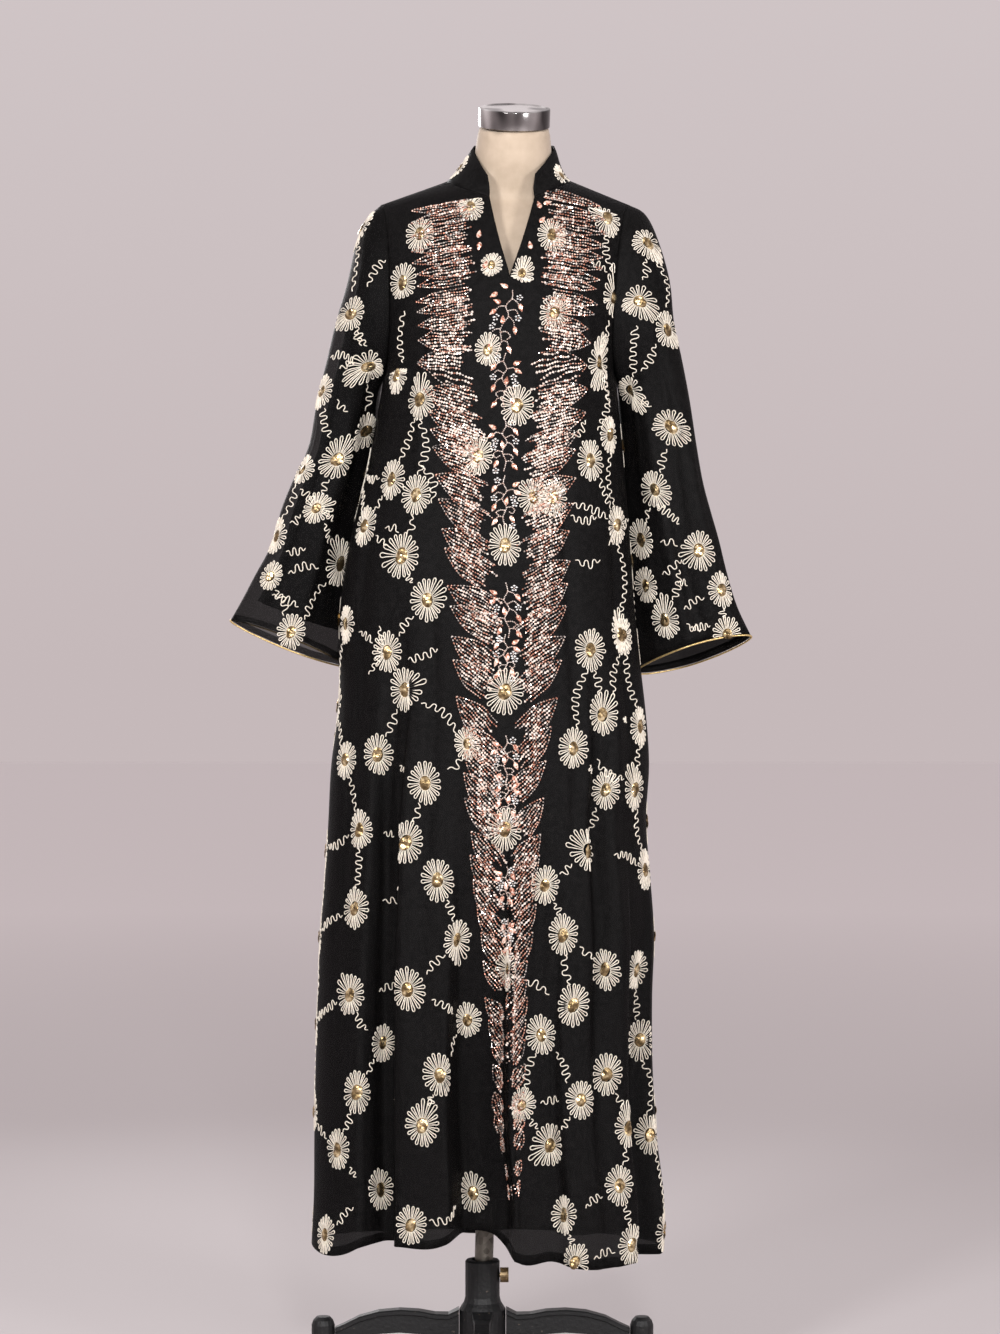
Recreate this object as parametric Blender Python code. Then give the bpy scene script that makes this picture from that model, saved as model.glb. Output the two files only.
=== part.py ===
"""A full length abaya on a limbless dress form with a cast four legged stand.

Metres, +Z up. The front of the garment faces -Y, X runs to the viewer's right, and the floor is
at z = 0. Every cloth piece is a thin wall: its outer face is worked out from the tables below,
and its inner face lies one cloth thickness behind it.
"""

from collections import namedtuple
from math import atan, cos, pi, radians, sin

import bmesh
import bpy
import numpy as np
from mathutils import Matrix, Vector

# Cloth thicknesses and the gap left at each seam
CLOTH = 0.0016
LINING_CLOTH = 0.0012
SEAM_GAP = 0.0003
SEAM_SHARE = 0.75
UNDERARM_GAP = 0.0008
PIPING_RADIUS = 0.0013
PIPING_SIDES = 6

# The form and its pole lean to the viewer's right, because the pole is loose in its socket
POLE_X_AT_FLOOR = -0.0141
LEAN = 0.0266
POLE_RADIUS = 0.0125
POLE_BOTTOM = 0.045
POLE_TOP = 0.9043

# Garment heights
HEM = 0.190
UNDERARM = 1.361
HEM_REACH = 0.35
RING_ROUNDNESS = 2.25
ARMHOLE_BOW = 0.012
ARMHOLE_BOW_STATIONS = 0.25

# Shares of the way up the armhole: the V point, and where the V edge meets the collar
V_SHARE = 0.45
NECK_SHARE = 0.80
SHOULDER_DEPTH_SHARE = 0.42
UPPER_SHARES = (0.0, 0.12, 0.25, 0.36, V_SHARE, 0.55, 0.65, 0.74, NECK_SHARE, 0.85, 0.90, 0.95, 1.0)
LOWER_HEIGHTS = (HEM, 0.235, 0.29, 0.36, 0.45, 0.55, 0.65, 0.76, 0.87, 0.97, 1.07, 1.17, 1.27,
                 UNDERARM)
# Columns of the front and the back, and how near in radians a column may lie to a fold's edge
FRONT_COLUMNS = 26
BACK_COLUMNS = 20
CLEAR_OF_FOLD = 0.045
CLOSEST_COLUMNS = 0.012


class Table:
    """Rows of sizes under named columns, read as smooth curves along the first column."""

    def __init__(self, columns, *rows):
        names = columns.split()
        self.values = dict(zip(names, np.array(rows, float).T))
        self.place = self.values[names[0]]

    def at(self, name, place):
        ys = self.values[name]
        place = min(max(place, self.place[0]), self.place[-1])
        k = min(int(np.searchsorted(self.place, place, side="right")) - 1, len(ys) - 2)
        width = self.place[k + 1] - self.place[k]
        slopes = np.gradient(ys, self.place)
        s = (place - self.place[k]) / width
        start = (1 + 2 * s) * (1 - s) ** 2 * ys[k] + s * (1 - s) ** 2 * width * slopes[k]
        return float(start + s * s * (3 - 2 * s) * ys[k + 1] + s * s * (s - 1) * width * slopes[k + 1])


# The body as worn: sides as seen from the front, and how far it stands forward and back
BODY = Table(
    "height left right front back",
    (0.190, -0.2420, 0.2325, 0.150, 0.135),
    (0.253, -0.2390, 0.2336, 0.149, 0.134),
    (0.336, -0.2383, 0.2241, 0.148, 0.133),
    (0.416, -0.2369, 0.2187, 0.147, 0.131),
    (0.525, -0.2336, 0.2174, 0.146, 0.129),
    (0.613, -0.2299, 0.2200, 0.145, 0.127),
    (0.683, -0.2241, 0.2153, 0.144, 0.126),
    (0.764, -0.2194, 0.2093, 0.142, 0.126),
    (0.841, -0.2153, 0.2133, 0.140, 0.128),
    (0.918, -0.2052, 0.2079, 0.138, 0.130),
    (0.965, -0.2039, 0.2025, 0.137, 0.130),
    (1.045, -0.2039, 0.1943, 0.135, 0.126),
    (1.169, -0.1836, 0.1855, 0.132, 0.116),
    (1.223, -0.1701, 0.1810, 0.131, 0.112),
    (1.331, -0.1499, 0.1715, 0.130, 0.108),
    (1.361, -0.1451, 0.1689, 0.129, 0.107),
)

# Height of the hem round the body: 0 degrees at the right side, 90 front, 180 left, 270 back
HEM_LINE = Table(
    "angle height",
    (0, 0.186),
    (33, 0.1825),
    (64, 0.1825),
    (70, 0.1886),
    (82, 0.1886),
    (89, 0.2190),
    (98, 0.2190),
    (104, 0.2104),
    (118, 0.2104),
    (131, 0.2077),
    (140, 0.1956),
    (180, 0.1956),
    (225, 0.192),
    (270, 0.190),
    (315, 0.188),
    (360, 0.186),
)

# Folds pushed into the skirt: side is 1 in front and -1 behind, start and end are X at the hem,
# each edge has its own width, and top and full are the heights where it starts and is whole
Fold = namedtuple("Fold", "side start end push start_edge end_edge top full at_hem")
FOLDS = (
    Fold(1, -0.170, -0.131, 0.046, 0.014, 0.007, 1.10, 0.34, 1.0),
    Fold(1, -0.050, 0.028, 0.072, 0.016, 0.009, 0.84, 0.22, 1.0),
    Fold(1, 0.0325, 0.100, 0.022, 0.009, 0.007, 0.90, 0.30, 1.0),
    Fold(1, 0.146, 0.166, 0.016, 0.008, 0.008, 1.06, 0.70, 0.25),
    Fold(1, 0.198, 0.2255, 0.034, 0.008, 0.005, 0.80, 0.25, 1.0),
    Fold(-1, -0.150, -0.110, 0.026, 0.016, 0.016, 1.00, 0.36, 1.0),
    Fold(-1, -0.045, 0.010, 0.036, 0.020, 0.020, 1.10, 0.36, 1.0),
    Fold(-1, 0.095, 0.140, 0.030, 0.018, 0.018, 0.95, 0.36, 1.0),
)

# Front neck edge below the collar: the V from its point up to the collar's end, on each side
V_EDGE = Table(
    "share left right forward height",
    (0.00, 0.0119, 0.0119, 0.129, 1.361),
    (0.25, 0.0205, 0.0205, 0.125, 1.436),
    (V_SHARE, 0.0250, 0.0250, 0.117, 1.486),
    (0.56, 0.0140, 0.0385, 0.104, 1.526),
    (0.68, 0.0050, 0.0495, 0.089, 1.563),
    (NECK_SHARE, -0.0018, 0.0580, 0.0714, 1.596),
)
BACK_LINE = Table(
    "share x back height",
    (0.00, 0.0119, 0.107, 1.361),
    (0.30, 0.0170, 0.111, 1.450),
    (0.60, 0.0216, 0.096, 1.562),
    (NECK_SHARE, 0.0237, 0.062, 1.640),
)

# The neck seam, round the neck from the front's middle by way of the left side and the back
NECK_X = 0.0237
NECK_HALF_WIDTH = 0.083
NECK_FRONT = 0.075
NECK_BACK = 0.062
NECK_START = 17.9
NECK_END = 335.6
COLLAR = Table(
    "angle seam_height top_x top_y top_height",
    (NECK_START, 1.596, -0.0050, -0.066, 1.625),
    (50, 1.612, -0.0175, -0.040, 1.650),
    (90, 1.626, -0.0240, -0.002, 1.672),
    (135, 1.636, -0.0100, 0.041, 1.681),
    (180, 1.640, 0.0308, 0.058, 1.684),
    (225, 1.636, 0.0715, 0.041, 1.681),
    (270, 1.627, 0.0860, -0.002, 1.672),
    (310, 1.612, 0.0755, -0.040, 1.650),
    (NECK_END, 1.597, 0.0596, -0.066, 1.627),
)
COLLAR_ROWS = 3
COLLAR_FLARE = 0.006

# Sleeves from the shoulder to the cuff: the outer edge, the height of the inner edge, which hangs
# beside the body, and how far the sleeve stands forward and back
SLEEVE_COLUMNS = "along outer_x outer_height inner_height forward back"
SLEEVES = {
    "left": Table(
        SLEEVE_COLUMNS,
        (0, -0.1485, 1.5944, 1.3610, 0.062, 0.062),
        (1, -0.1674, 1.5755, 1.3540, 0.066, 0.064),
        (2, -0.1823, 1.5404, 1.3440, 0.067, 0.064),
        (3, -0.1944, 1.4864, 1.3280, 0.065, 0.062),
        (4, -0.2093, 1.4364, 1.3070, 0.061, 0.060),
        (5, -0.2214, 1.3851, 1.2770, 0.057, 0.058),
        (6, -0.2349, 1.3311, 1.2450, 0.054, 0.056),
        (7, -0.2457, 1.2704, 1.2070, 0.052, 0.055),
        (8, -0.2673, 1.2231, 1.1690, 0.052, 0.054),
        (9, -0.2835, 1.1826, 1.1310, 0.051, 0.053),
        (10, -0.2970, 1.1354, 1.0935, 0.049, 0.052),
        (11, -0.3186, 1.0949, 1.0530, 0.047, 0.050),
        (12, -0.3348, 1.0638, 1.0140, 0.045, 0.048),
        (13, -0.3510, 1.0348, 0.9733, 0.043, 0.046),
    ),
    "right": Table(
        SLEEVE_COLUMNS,
        (0, 0.1863, 1.5944, 1.3610, 0.062, 0.062),
        (1, 0.2079, 1.5822, 1.3540, 0.066, 0.064),
        (2, 0.2241, 1.5512, 1.3440, 0.067, 0.064),
        (3, 0.2410, 1.4931, 1.3280, 0.065, 0.062),
        (4, 0.2470, 1.4364, 1.3050, 0.061, 0.060),
        (5, 0.2579, 1.3851, 1.2720, 0.057, 0.058),
        (6, 0.2682, 1.3311, 1.2360, 0.054, 0.056),
        (7, 0.2774, 1.2704, 1.1960, 0.052, 0.055),
        (8, 0.2862, 1.2204, 1.1570, 0.051, 0.054),
        (9, 0.2970, 1.1799, 1.1180, 0.050, 0.053),
        (10, 0.3078, 1.1421, 1.0800, 0.048, 0.052),
        (11, 0.3186, 1.0976, 1.0420, 0.046, 0.050),
        (12, 0.3321, 1.0530, 1.0030, 0.044, 0.048),
        (13, 0.3510, 1.0125, 0.9653, 0.042, 0.046),
    ),
}
CUFF_STATION = 13
# How the inner edge hangs: tucked in behind the body's side, and how far back it lies
SLEEVE_HANG = Table(
    "station tuck back",
    (0, 0.0000, 0.000),
    (1, -0.0018, 0.004),
    (2, -0.0018, 0.014),
    (3, -0.0012, 0.028),
    (4, 0.0005, 0.040),
    (5, 0.0030, 0.050),
    (7, 0.0065, 0.055),
    (10, 0.0070, 0.055),
    (13, 0.0060, 0.055),
)
CUFF_LIFT = {"left": -0.008, "right": 0.014}
CUFF_WAVES = 3
CUFF_WAVE_DEPTH = 0.005
CUFF_ROUNDNESS = 1.7
ARMHOLE_ROUNDNESS = 2.1

# Linings, which lie inside the sheer cloth: how far in from it on each side
BODY_LINING = Table(
    "height left right front back",
    (0.262, 0.026, 0.046, 0.092, 0.050),
    (0.360, 0.024, 0.042, 0.090, 0.048),
    (0.500, 0.022, 0.034, 0.072, 0.046),
    (0.650, 0.022, 0.024, 0.048, 0.038),
    (0.800, 0.022, 0.016, 0.034, 0.030),
    (0.950, 0.021, 0.012, 0.018, 0.016),
    (1.100, 0.017, 0.009, 0.009, 0.010),
    (1.220, 0.010, 0.006, 0.006, 0.006),
    (1.330, 0.0026, 0.0026, 0.0026, 0.0026),
)
BODY_LINING_COLUMNS = 28
SLEEVE_LINING = Table(
    "station outer faces",
    (1, 0.000, 0.000),
    (2, 0.008, 0.002),
    (3, 0.013, 0.003),
    (4, 0.015, 0.003),
    (6, 0.016, 0.004),
    (8, 0.018, 0.004),
    (10, 0.019, 0.005),
    (12, 0.020, 0.005),
)
LINING_GAP = 0.0006

# The dress form, from its flat base to the top of the neck; slope is the ring's fall to the front
FORM = Table(
    "height left right front back middle slope",
    (0.905, -0.146, 0.166, 0.098, 0.096, 0.000, 0.0),
    (0.918, -0.152, 0.171, 0.103, 0.102, 0.000, 0.0),
    (0.960, -0.157, 0.176, 0.107, 0.108, 0.000, 0.0),
    (1.010, -0.153, 0.173, 0.107, 0.107, 0.000, 0.0),
    (1.070, -0.137, 0.160, 0.103, 0.098, 0.000, 0.0),
    (1.130, -0.114, 0.142, 0.098, 0.090, 0.000, 0.0),
    (1.185, -0.103, 0.135, 0.097, 0.082, 0.000, 0.0),
    (1.240, -0.106, 0.141, 0.104, 0.084, 0.000, 0.0),
    (1.310, -0.114, 0.149, 0.116, 0.092, 0.000, 0.0),
    (1.365, -0.118, 0.153, 0.119, 0.098, 0.000, 0.0),
    (1.420, -0.118, 0.154, 0.109, 0.099, 0.000, 0.0),
    (1.470, -0.117, 0.154, 0.096, 0.095, 0.000, 0.0),
    (1.510, -0.119, 0.157, 0.084, 0.086, 0.000, 0.0),
    (1.545, -0.124, 0.162, 0.071, 0.074, 0.000, 0.0),
    (1.572, -0.131, 0.168, 0.058, 0.060, 0.000, 0.0),
    (1.588, -0.1345, 0.1715, 0.044, 0.046, 0.000, 0.0),
    (1.600, -0.1245, 0.1635, 0.036, 0.040, 0.000, 0.0),
    (1.610, -0.0960, 0.1385, 0.040, 0.044, 0.000, 0.0),
    (1.619, -0.0670, 0.1145, 0.044, 0.047, 0.000, 0.0),
    (1.631, -0.0310, 0.0895, 0.049, 0.050, -0.001, 0.02),
    (1.645, -0.0258, 0.0845, 0.0525, 0.051, -0.004, 0.07),
    (1.662, -0.0225, 0.0820, 0.0515, 0.0500, -0.008, 0.15),
    (1.678, -0.0200, 0.0812, 0.0495, 0.0490, -0.012, 0.23),
    (1.696, -0.0175, 0.0796, 0.0485, 0.0485, -0.016, 0.30),
)
FORM_COLUMNS = 24
CAP_RADIUS = 0.0482
CAP_HEIGHT = 0.0255
CAP_BEVEL = 0.003
CAP_SEAT_GAP = 0.0016
CAP_SIDES = 40
POLE_SIDES = 28
SHARP_ANGLE = radians(35)

# The cast stand: a socket on four legs, each with a round foot
STAND_X = -0.0115
SOCKET_BORE = 0.0148
SOCKET_RADIUS = 0.0234
SOCKET_TOP = 0.171
SOCKET_BOTTOM = 0.056
SOCKET_SIDES = 26
LEG_REACH = 0.215
LEG_ROOT = 0.0318
SOCKET = Table(
    "row radius height",
    (0, SOCKET_BORE, SOCKET_BOTTOM),
    (1, 0.0295, SOCKET_BOTTOM),
    (2, LEG_ROOT - 0.0004, 0.061),
    (3, LEG_ROOT - 0.0004, 0.104),
    (4, 0.0285, 0.109),
    (5, 0.0252, 0.114),
    (6, SOCKET_RADIUS, 0.121),
    (7, SOCKET_RADIUS, SOCKET_TOP - 0.0025),
    (8, SOCKET_RADIUS - 0.002, SOCKET_TOP),
    (9, SOCKET_BORE, SOCKET_TOP),
    (10, SOCKET_BORE, SOCKET_BOTTOM),
)
FOOT = Table(
    "row radius height",
    (0, 0.0130, 0.0),
    (1, 0.0145, 0.002),
    (2, 0.0145, 0.010),
    (3, 0.0115, 0.016),
    (4, 0.0110, 0.036),
    (5, 0.0157, 0.044),
    (6, 0.0157, 0.083),
    (7, 0.0135, 0.0895),
    (8, 0.0092, 0.094),
)
FOOT_SIDES = 18
LEG = Table(
    "reach top bottom lip web",
    (LEG_ROOT, 0.1055, 0.0640, 0.0150, 0.0090),
    (0.046, 0.0985, 0.0660, 0.0130, 0.0080),
    (0.064, 0.0990, 0.0680, 0.0120, 0.0070),
    (0.086, 0.1030, 0.0710, 0.0115, 0.0065),
    (0.112, 0.1045, 0.0730, 0.0110, 0.0060),
    (0.140, 0.1020, 0.0710, 0.0110, 0.0060),
    (0.166, 0.0950, 0.0640, 0.0105, 0.0060),
    (0.186, 0.0850, 0.0550, 0.0095, 0.0060),
    (0.1988, 0.0795, 0.0500, 0.0085, 0.0060),
)
LEG_LIP_DEPTH = 0.006
LEG_BEVEL = 0.0015
SCREW_HEIGHT = 0.150
SCREW_SHANK_RADIUS = 0.0032
SCREW_HOLE_RADIUS = 0.0035
SCREW_HOLE_SIDES = 16
SCREW_TIP = 0.0143
KNOB_RADIUS = 0.0100
KNOB_INNER = 0.0238
KNOB_OUTER = 0.0352
KNOB_BEVEL = 0.002
KNOB_SIDES = 24

# Colour, roughness and metallic value of each finish
FINISHES = {
    "georgette": ((0.012, 0.011, 0.012), 0.80, 0.0),
    "lining": ((0.006, 0.006, 0.007), 0.70, 0.0),
    "gold_piping": ((0.72, 0.56, 0.25), 0.40, 0.3),
    "cream_form": ((0.78, 0.66, 0.48), 0.60, 0.0),
    "chrome": ((0.75, 0.75, 0.76), 0.12, 1.0),
    "galvanised": ((0.42, 0.42, 0.41), 0.45, 1.0),
    "cast_iron": ((0.012, 0.012, 0.013), 0.45, 0.2),
    "antique_brass": ((0.30, 0.22, 0.12), 0.45, 1.0),
}


def clear_scene():
    for thing in list(bpy.data.objects):
        bpy.data.objects.remove(thing, do_unlink=True)


def finish(name):
    """The named finish, made on first use."""
    found = bpy.data.materials.get(name)
    if found:
        return found
    colour, roughness, metallic = FINISHES[name]
    material = bpy.data.materials.new(name)
    material.use_nodes = True
    shader = material.node_tree.nodes["Principled BSDF"]
    shader.inputs["Base Color"].default_value = (*colour, 1.0)
    shader.inputs["Roughness"].default_value = roughness
    shader.inputs["Metallic"].default_value = metallic
    return material


def add_object(name, points, faces, material):
    mesh = bpy.data.meshes.new(name)
    mesh.from_pydata([tuple(p) for p in points], [], faces)
    mesh.validate()
    mesh.shade_smooth()
    mesh.materials.append(finish(material))
    piece = bpy.data.objects.new(name, mesh)
    bpy.context.scene.collection.objects.link(piece)
    return piece


def ease(share):
    share = min(max(share, 0.0), 1.0)
    return share * share * (3 - 2 * share)


def signed_power(value, power):
    return abs(value) ** power * (1 if value >= 0 else -1)


def unit(vector):
    length = np.linalg.norm(vector)
    return vector / length if length > 1e-12 else vector * 0


# Body surface

def hem_x(angle):
    """X of a ring's point where it would meet the hem, which places the folds."""
    middle = (BODY.at("left", HEM) + BODY.at("right", HEM)) / 2
    half = (BODY.at("right", HEM) - BODY.at("left", HEM)) / 2
    return middle + half * signed_power(cos(angle), 2 / RING_ROUNDNESS)


def angle_at_hem(x, side):
    """The ring angle whose hem point has this X, on the front (1) or the back (-1)."""
    middle = (BODY.at("left", HEM) + BODY.at("right", HEM)) / 2
    half = (BODY.at("right", HEM) - BODY.at("left", HEM)) / 2
    share = min(max((x - middle) / half, -1.0), 1.0)
    angle = np.arccos(signed_power(share, RING_ROUNDNESS / 2))
    return float(angle if side > 0 else 2 * pi - angle)


def fold_push(angle, height):
    """How far the folds push the skirt in at this ring angle and height."""
    x = hem_x(angle)
    side = 1 if sin(angle) >= 0 else -1
    push = 0.0
    for fold in FOLDS:
        if fold.side != side:
            continue
        across = (ease((x - fold.start) / fold.start_edge + 0.5)
                  * ease((fold.end - x) / fold.end_edge + 0.5))
        down = ease((fold.top - height) / (fold.top - fold.full))
        left = fold.at_hem + (1 - fold.at_hem) * ease((height - HEM) / (fold.full - HEM))
        push += fold.push * across * down * left
    return push


def lower_point(angle, height):
    """A point of the body between the hem and the underarms."""
    left, right = BODY.at("left", height), BODY.at("right", height)
    front, back = BODY.at("front", height), BODY.at("back", height)
    middle, half = (left + right) / 2, (right - left) / 2
    depth = front if sin(angle) >= 0 else back
    across = signed_power(cos(angle), 2 / RING_ROUNDNESS)
    forward = signed_power(sin(angle), 2 / RING_ROUNDNESS)
    slope = np.array([signed_power(across, RING_ROUNDNESS - 1) / half,
                      -signed_power(forward, RING_ROUNDNESS - 1) / depth])
    out = unit(slope) * -fold_push(angle, height)
    near_hem = max(0.0, 1 - (height - HEM) / HEM_REACH) ** 2
    lift = (HEM_LINE.at("height", angle * 180 / pi) - HEM) * near_hem
    return np.array([middle + half * across + out[0], -depth * forward + out[1], height + lift])


def neck_point(degrees):
    """A point of the neck seam."""
    turn = radians(degrees)
    depth = NECK_FRONT if cos(turn) > 0 else NECK_BACK
    return np.array([NECK_X - NECK_HALF_WIDTH * sin(turn), -depth * cos(turn),
                     COLLAR.at("seam_height", degrees)])


def inner_end(side, back, share):
    """Where a row of the upper body ends: the centre line, the V edge, then the neck seam."""
    if share > NECK_SHARE:
        along = (share - NECK_SHARE) / (1 - NECK_SHARE)
        start = 180 if back else (NECK_START if side == "left" else NECK_END)
        end = 90 if side == "left" else 270
        return neck_point(start + (end - start) * along)
    if back:
        return np.array([BACK_LINE.at("x", share), BACK_LINE.at("back", share),
                         BACK_LINE.at("height", share)])
    sides = (side,) if share > V_SHARE else ("left", "right")
    x = sum(V_EDGE.at(name, share) for name in sides) / len(sides)
    return np.array([x, -V_EDGE.at("forward", share), V_EDGE.at("height", share)])


def sleeve_point(side, angle, station):
    """A point of a sleeve: angle 0 at its outer edge, 90 degrees in front, 180 beside the body."""
    table = SLEEVES[side]
    away = -1 if side == "left" else 1
    inner_height = table.at("inner_height", station)
    tuck, behind = SLEEVE_HANG.at("tuck", station), SLEEVE_HANG.at("back", station)
    inner = np.array([BODY.at(side, inner_height) - away * tuck, behind, inner_height])
    outer = np.array([table.at("outer_x", station), 0.0, table.at("outer_height", station)])
    forward, back = table.at("forward", station), table.at("back", station)
    share = station / CUFF_STATION
    roundness = ARMHOLE_ROUNDNESS + (CUFF_ROUNDNESS - ARMHOLE_ROUNDNESS) * ease(share)
    wave = CUFF_WAVE_DEPTH * share ** 3 * cos(CUFF_WAVES * angle) * abs(sin(angle))
    depth = (forward if sin(angle) >= 0 else back) + wave
    across = signed_power(cos(angle), 2 / roundness)
    ahead = signed_power(sin(angle), 2 / roundness)
    point = (outer + inner) / 2 + (outer - inner) / 2 * across
    point[1] -= depth * ahead
    bow = ARMHOLE_BOW * (1 - ease(share / ARMHOLE_BOW_STATIONS)) * abs(ahead)
    point[0] -= away * bow
    point[2] += CUFF_LIFT[side] * ahead * share ** 4
    return point


def upper_point(side, back, angle, share):
    """A point of the body above the underarms, on a row from the armhole to its inner end.

    Each row is the stretch of a ring that starts at the armhole, so the chest stays round.
    """
    turn = pi * (1 + share) if back else pi * (1 - share)
    armhole = sleeve_point(side, turn, 0)
    inner = inner_end(side, back, share)
    if share == 1:
        depth_share = SHOULDER_DEPTH_SHARE
    else:
        depth_share = abs(armhole[1]) / abs(inner[1])
    power = 2 / RING_ROUNDNESS
    start = np.arcsin(min(depth_share, 0.95) ** (1 / power))
    angle = abs(angle - (3 * pi / 2 if back else pi / 2))
    turned = pi / 2 - angle * (1 - start / (pi / 2))
    across = abs(cos(turned) / cos(start)) ** power
    forward = abs(sin(turned)) ** power
    point = inner + (armhole - inner) * across
    point[1] = inner[1] * forward
    return point


def ring_angles(side, columns):
    """Ring angles of the front's (1) or the back's (-1) columns: even ones, and a pair at each
    edge of its folds."""
    first = 0.0 if side > 0 else pi
    edges = []
    for fold in FOLDS:
        if fold.side == side:
            for x, edge in ((fold.start, fold.start_edge), (fold.end, fold.end_edge)):
                edges += [angle_at_hem(x - edge / 2, side), angle_at_hem(x + edge / 2, side)]
    fixed = (first, first + pi / 2, first + pi)
    even = [first + pi * k / columns for k in range(columns + 1)]
    kept = [a for a in even if a in fixed or min(abs(a - e) for e in edges) > CLEAR_OF_FOLD]
    edges = [e for e in edges if min(abs(e - f) for f in fixed) > CLOSEST_COLUMNS]
    spread = []
    for angle in sorted(kept + edges):
        if not spread or angle - spread[-1] > CLOSEST_COLUMNS:
            spread.append(angle)
    return spread


def body_grids():
    """Grids of outer points for the front's and the back's two halves, row by row from the hem."""
    grids = {}
    for back, angles in ((False, ring_angles(1, FRONT_COLUMNS)), (True, ring_angles(-1, BACK_COLUMNS))):
        centre = 3 * pi / 2 if back else pi / 2
        for side in ("left", "right"):
            keeps_left = side == "left"
            half = [a for a in angles if (a >= centre - 1e-9) == (keeps_left != back)
                    or abs(a - centre) < 1e-9]
            rows = [[lower_point(a, h) for a in half] for h in LOWER_HEIGHTS[:-1]]
            rows += [[upper_point(side, back, a, s) for a in half] for s in UPPER_SHARES]
            grids["back" if back else "front", side] = np.array(rows)
    return grids


def sleeve_angles():
    """Sleeve columns that meet the body's rows at the armhole, once round and back to the start."""
    front = [pi * (1 - s) for s in reversed(UPPER_SHARES)]
    return front + [pi * (1 + s) for s in UPPER_SHARES[1:]]


def sleeve_grid(side):
    """A sleeve's outer points; its lowest armhole points stand just off the body's side."""
    angles = sleeve_angles()
    grid = np.array([[sleeve_point(side, a, k) for a in angles] for k in range(CUFF_STATION + 1)])
    lowest = [k for k, angle in enumerate(angles) if abs(angle - pi) <= pi * UPPER_SHARES[1] + 0.01]
    grid[0, lowest, 0] += UNDERARM_GAP * (-1 if side == "left" else 1)
    return grid


def collar_degrees():
    """Collar columns that meet the body's rows at the neck seam, from left end to right end."""
    steps = [(s - NECK_SHARE) / (1 - NECK_SHARE) for s in UPPER_SHARES if s >= NECK_SHARE]
    left = [NECK_START + (90 - NECK_START) * s for s in steps]
    back = [180 + (90 - 180) * s for s in reversed(steps)]
    back_right = [180 + (270 - 180) * s for s in steps]
    right = [NECK_END + (270 - NECK_END) * s for s in reversed(steps)]
    return left + back[1:] + back_right[1:] + right[1:]


def collar_point(degrees, share):
    seam = neck_point(degrees)
    top = np.array([COLLAR.at(name, degrees) for name in ("top_x", "top_y", "top_height")])
    flare = COLLAR_FLARE * sin(pi * share) * (1 - share)
    point = seam + (top - seam) * share
    return point - np.array([-sin(radians(degrees)), -cos(radians(degrees)), 0]) * flare


def collar_grid():
    return np.array([[collar_point(d, k / COLLAR_ROWS) for d in collar_degrees()]
                     for k in range(COLLAR_ROWS + 1)])


# Walls made from grids of points

def key(point):
    return tuple(int(round(value * 1e5)) for value in point)


def quads(grid, flip):
    """Each quad of a grid as four (row, column) places, turned to face outwards."""
    rows, columns = grid.shape[:2]
    for i in range(rows - 1):
        for j in range(columns - 1):
            corners = [(i, j), (i + 1, j), (i + 1, j + 1), (i, j + 1)]
            yield corners[::-1] if flip else corners


def shared_normals(parts):
    """Outward normals where pieces meet, so that both sides of a seam have the same edge.

    The side seams and shoulder seams lie in the plane y = 0, and so do their normals.
    """
    sums = {}
    for grid, flip in parts:
        for corners in quads(grid, flip):
            points = [grid[c] for c in corners]
            normal = np.cross(points[2] - points[0], points[3] - points[1])
            for point in points:
                sums[key(point)] = sums.get(key(point), 0) + normal
    for place, total in sums.items():
        if place[1] == 0:
            total[1] = 0
    return {place: unit(total) for place, total in sums.items()}


def seam_inset(grid, edges):
    """How far each point moves into its own piece, so that seams keep their gap."""
    moves = np.zeros_like(grid)
    for edge, first, last in edges:
        line, inside = {
            "first_row": (np.s_[0, :], np.s_[1, :]),
            "last_row": (np.s_[-1, :], np.s_[-2, :]),
            "first_column": (np.s_[:, 0], np.s_[:, 1]),
            "last_column": (np.s_[:, -1], np.s_[:, -2]),
        }[edge]
        for k in range(first, len(grid[line]) if last is None else last):
            moves[line][k] += unit(grid[inside][k] - grid[line][k]) * SEAM_GAP * SEAM_SHARE
    return moves


def add_wall(name, parts, normals, thickness, material):
    """A closed wall: the parts' outer points, the same points one thickness in, and the rims."""
    points, index, faces = [], {}, []
    for grid, flip, edges in parts:
        moves = seam_inset(grid, edges)
        rows, columns = grid.shape[:2]
        places = {}
        for i in range(rows):
            for j in range(columns):
                outer = grid[i, j] + moves[i, j]
                found = index.get(key(outer))
                if found is None:
                    found = index[key(outer)] = len(points)
                    points.append((outer, outer - normals[key(grid[i, j])] * thickness))
                places[i, j] = found
        for corners in quads(grid, flip):
            face = []
            for corner in corners:
                if places[corner] not in face:
                    face.append(places[corner])
            if len(face) > 2:
                faces.append(face)
    used = {edge for face in faces for edge in zip(face, face[1:] + face[:1])}
    count = len(points)
    shell = [list(face) for face in faces]
    shell += [[v + count for v in reversed(face)] for face in faces]
    shell += [[b, a, a + count, b + count] for a, b in used if (b, a) not in used]
    return add_object(name, [p[0] for p in points] + [p[1] for p in points], shell, material)


def grid_normals(grid, flip):
    return shared_normals([(grid, flip)])


def split_quads(piece):
    """Makes a strongly twisted wall's quads into triangles, so that each face is flat."""
    mesh = bmesh.new()
    mesh.from_mesh(piece.data)
    bmesh.ops.triangulate(mesh, faces=mesh.faces, quad_method="SHORT_EDGE")
    mesh.to_mesh(piece.data)
    mesh.free()


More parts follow.
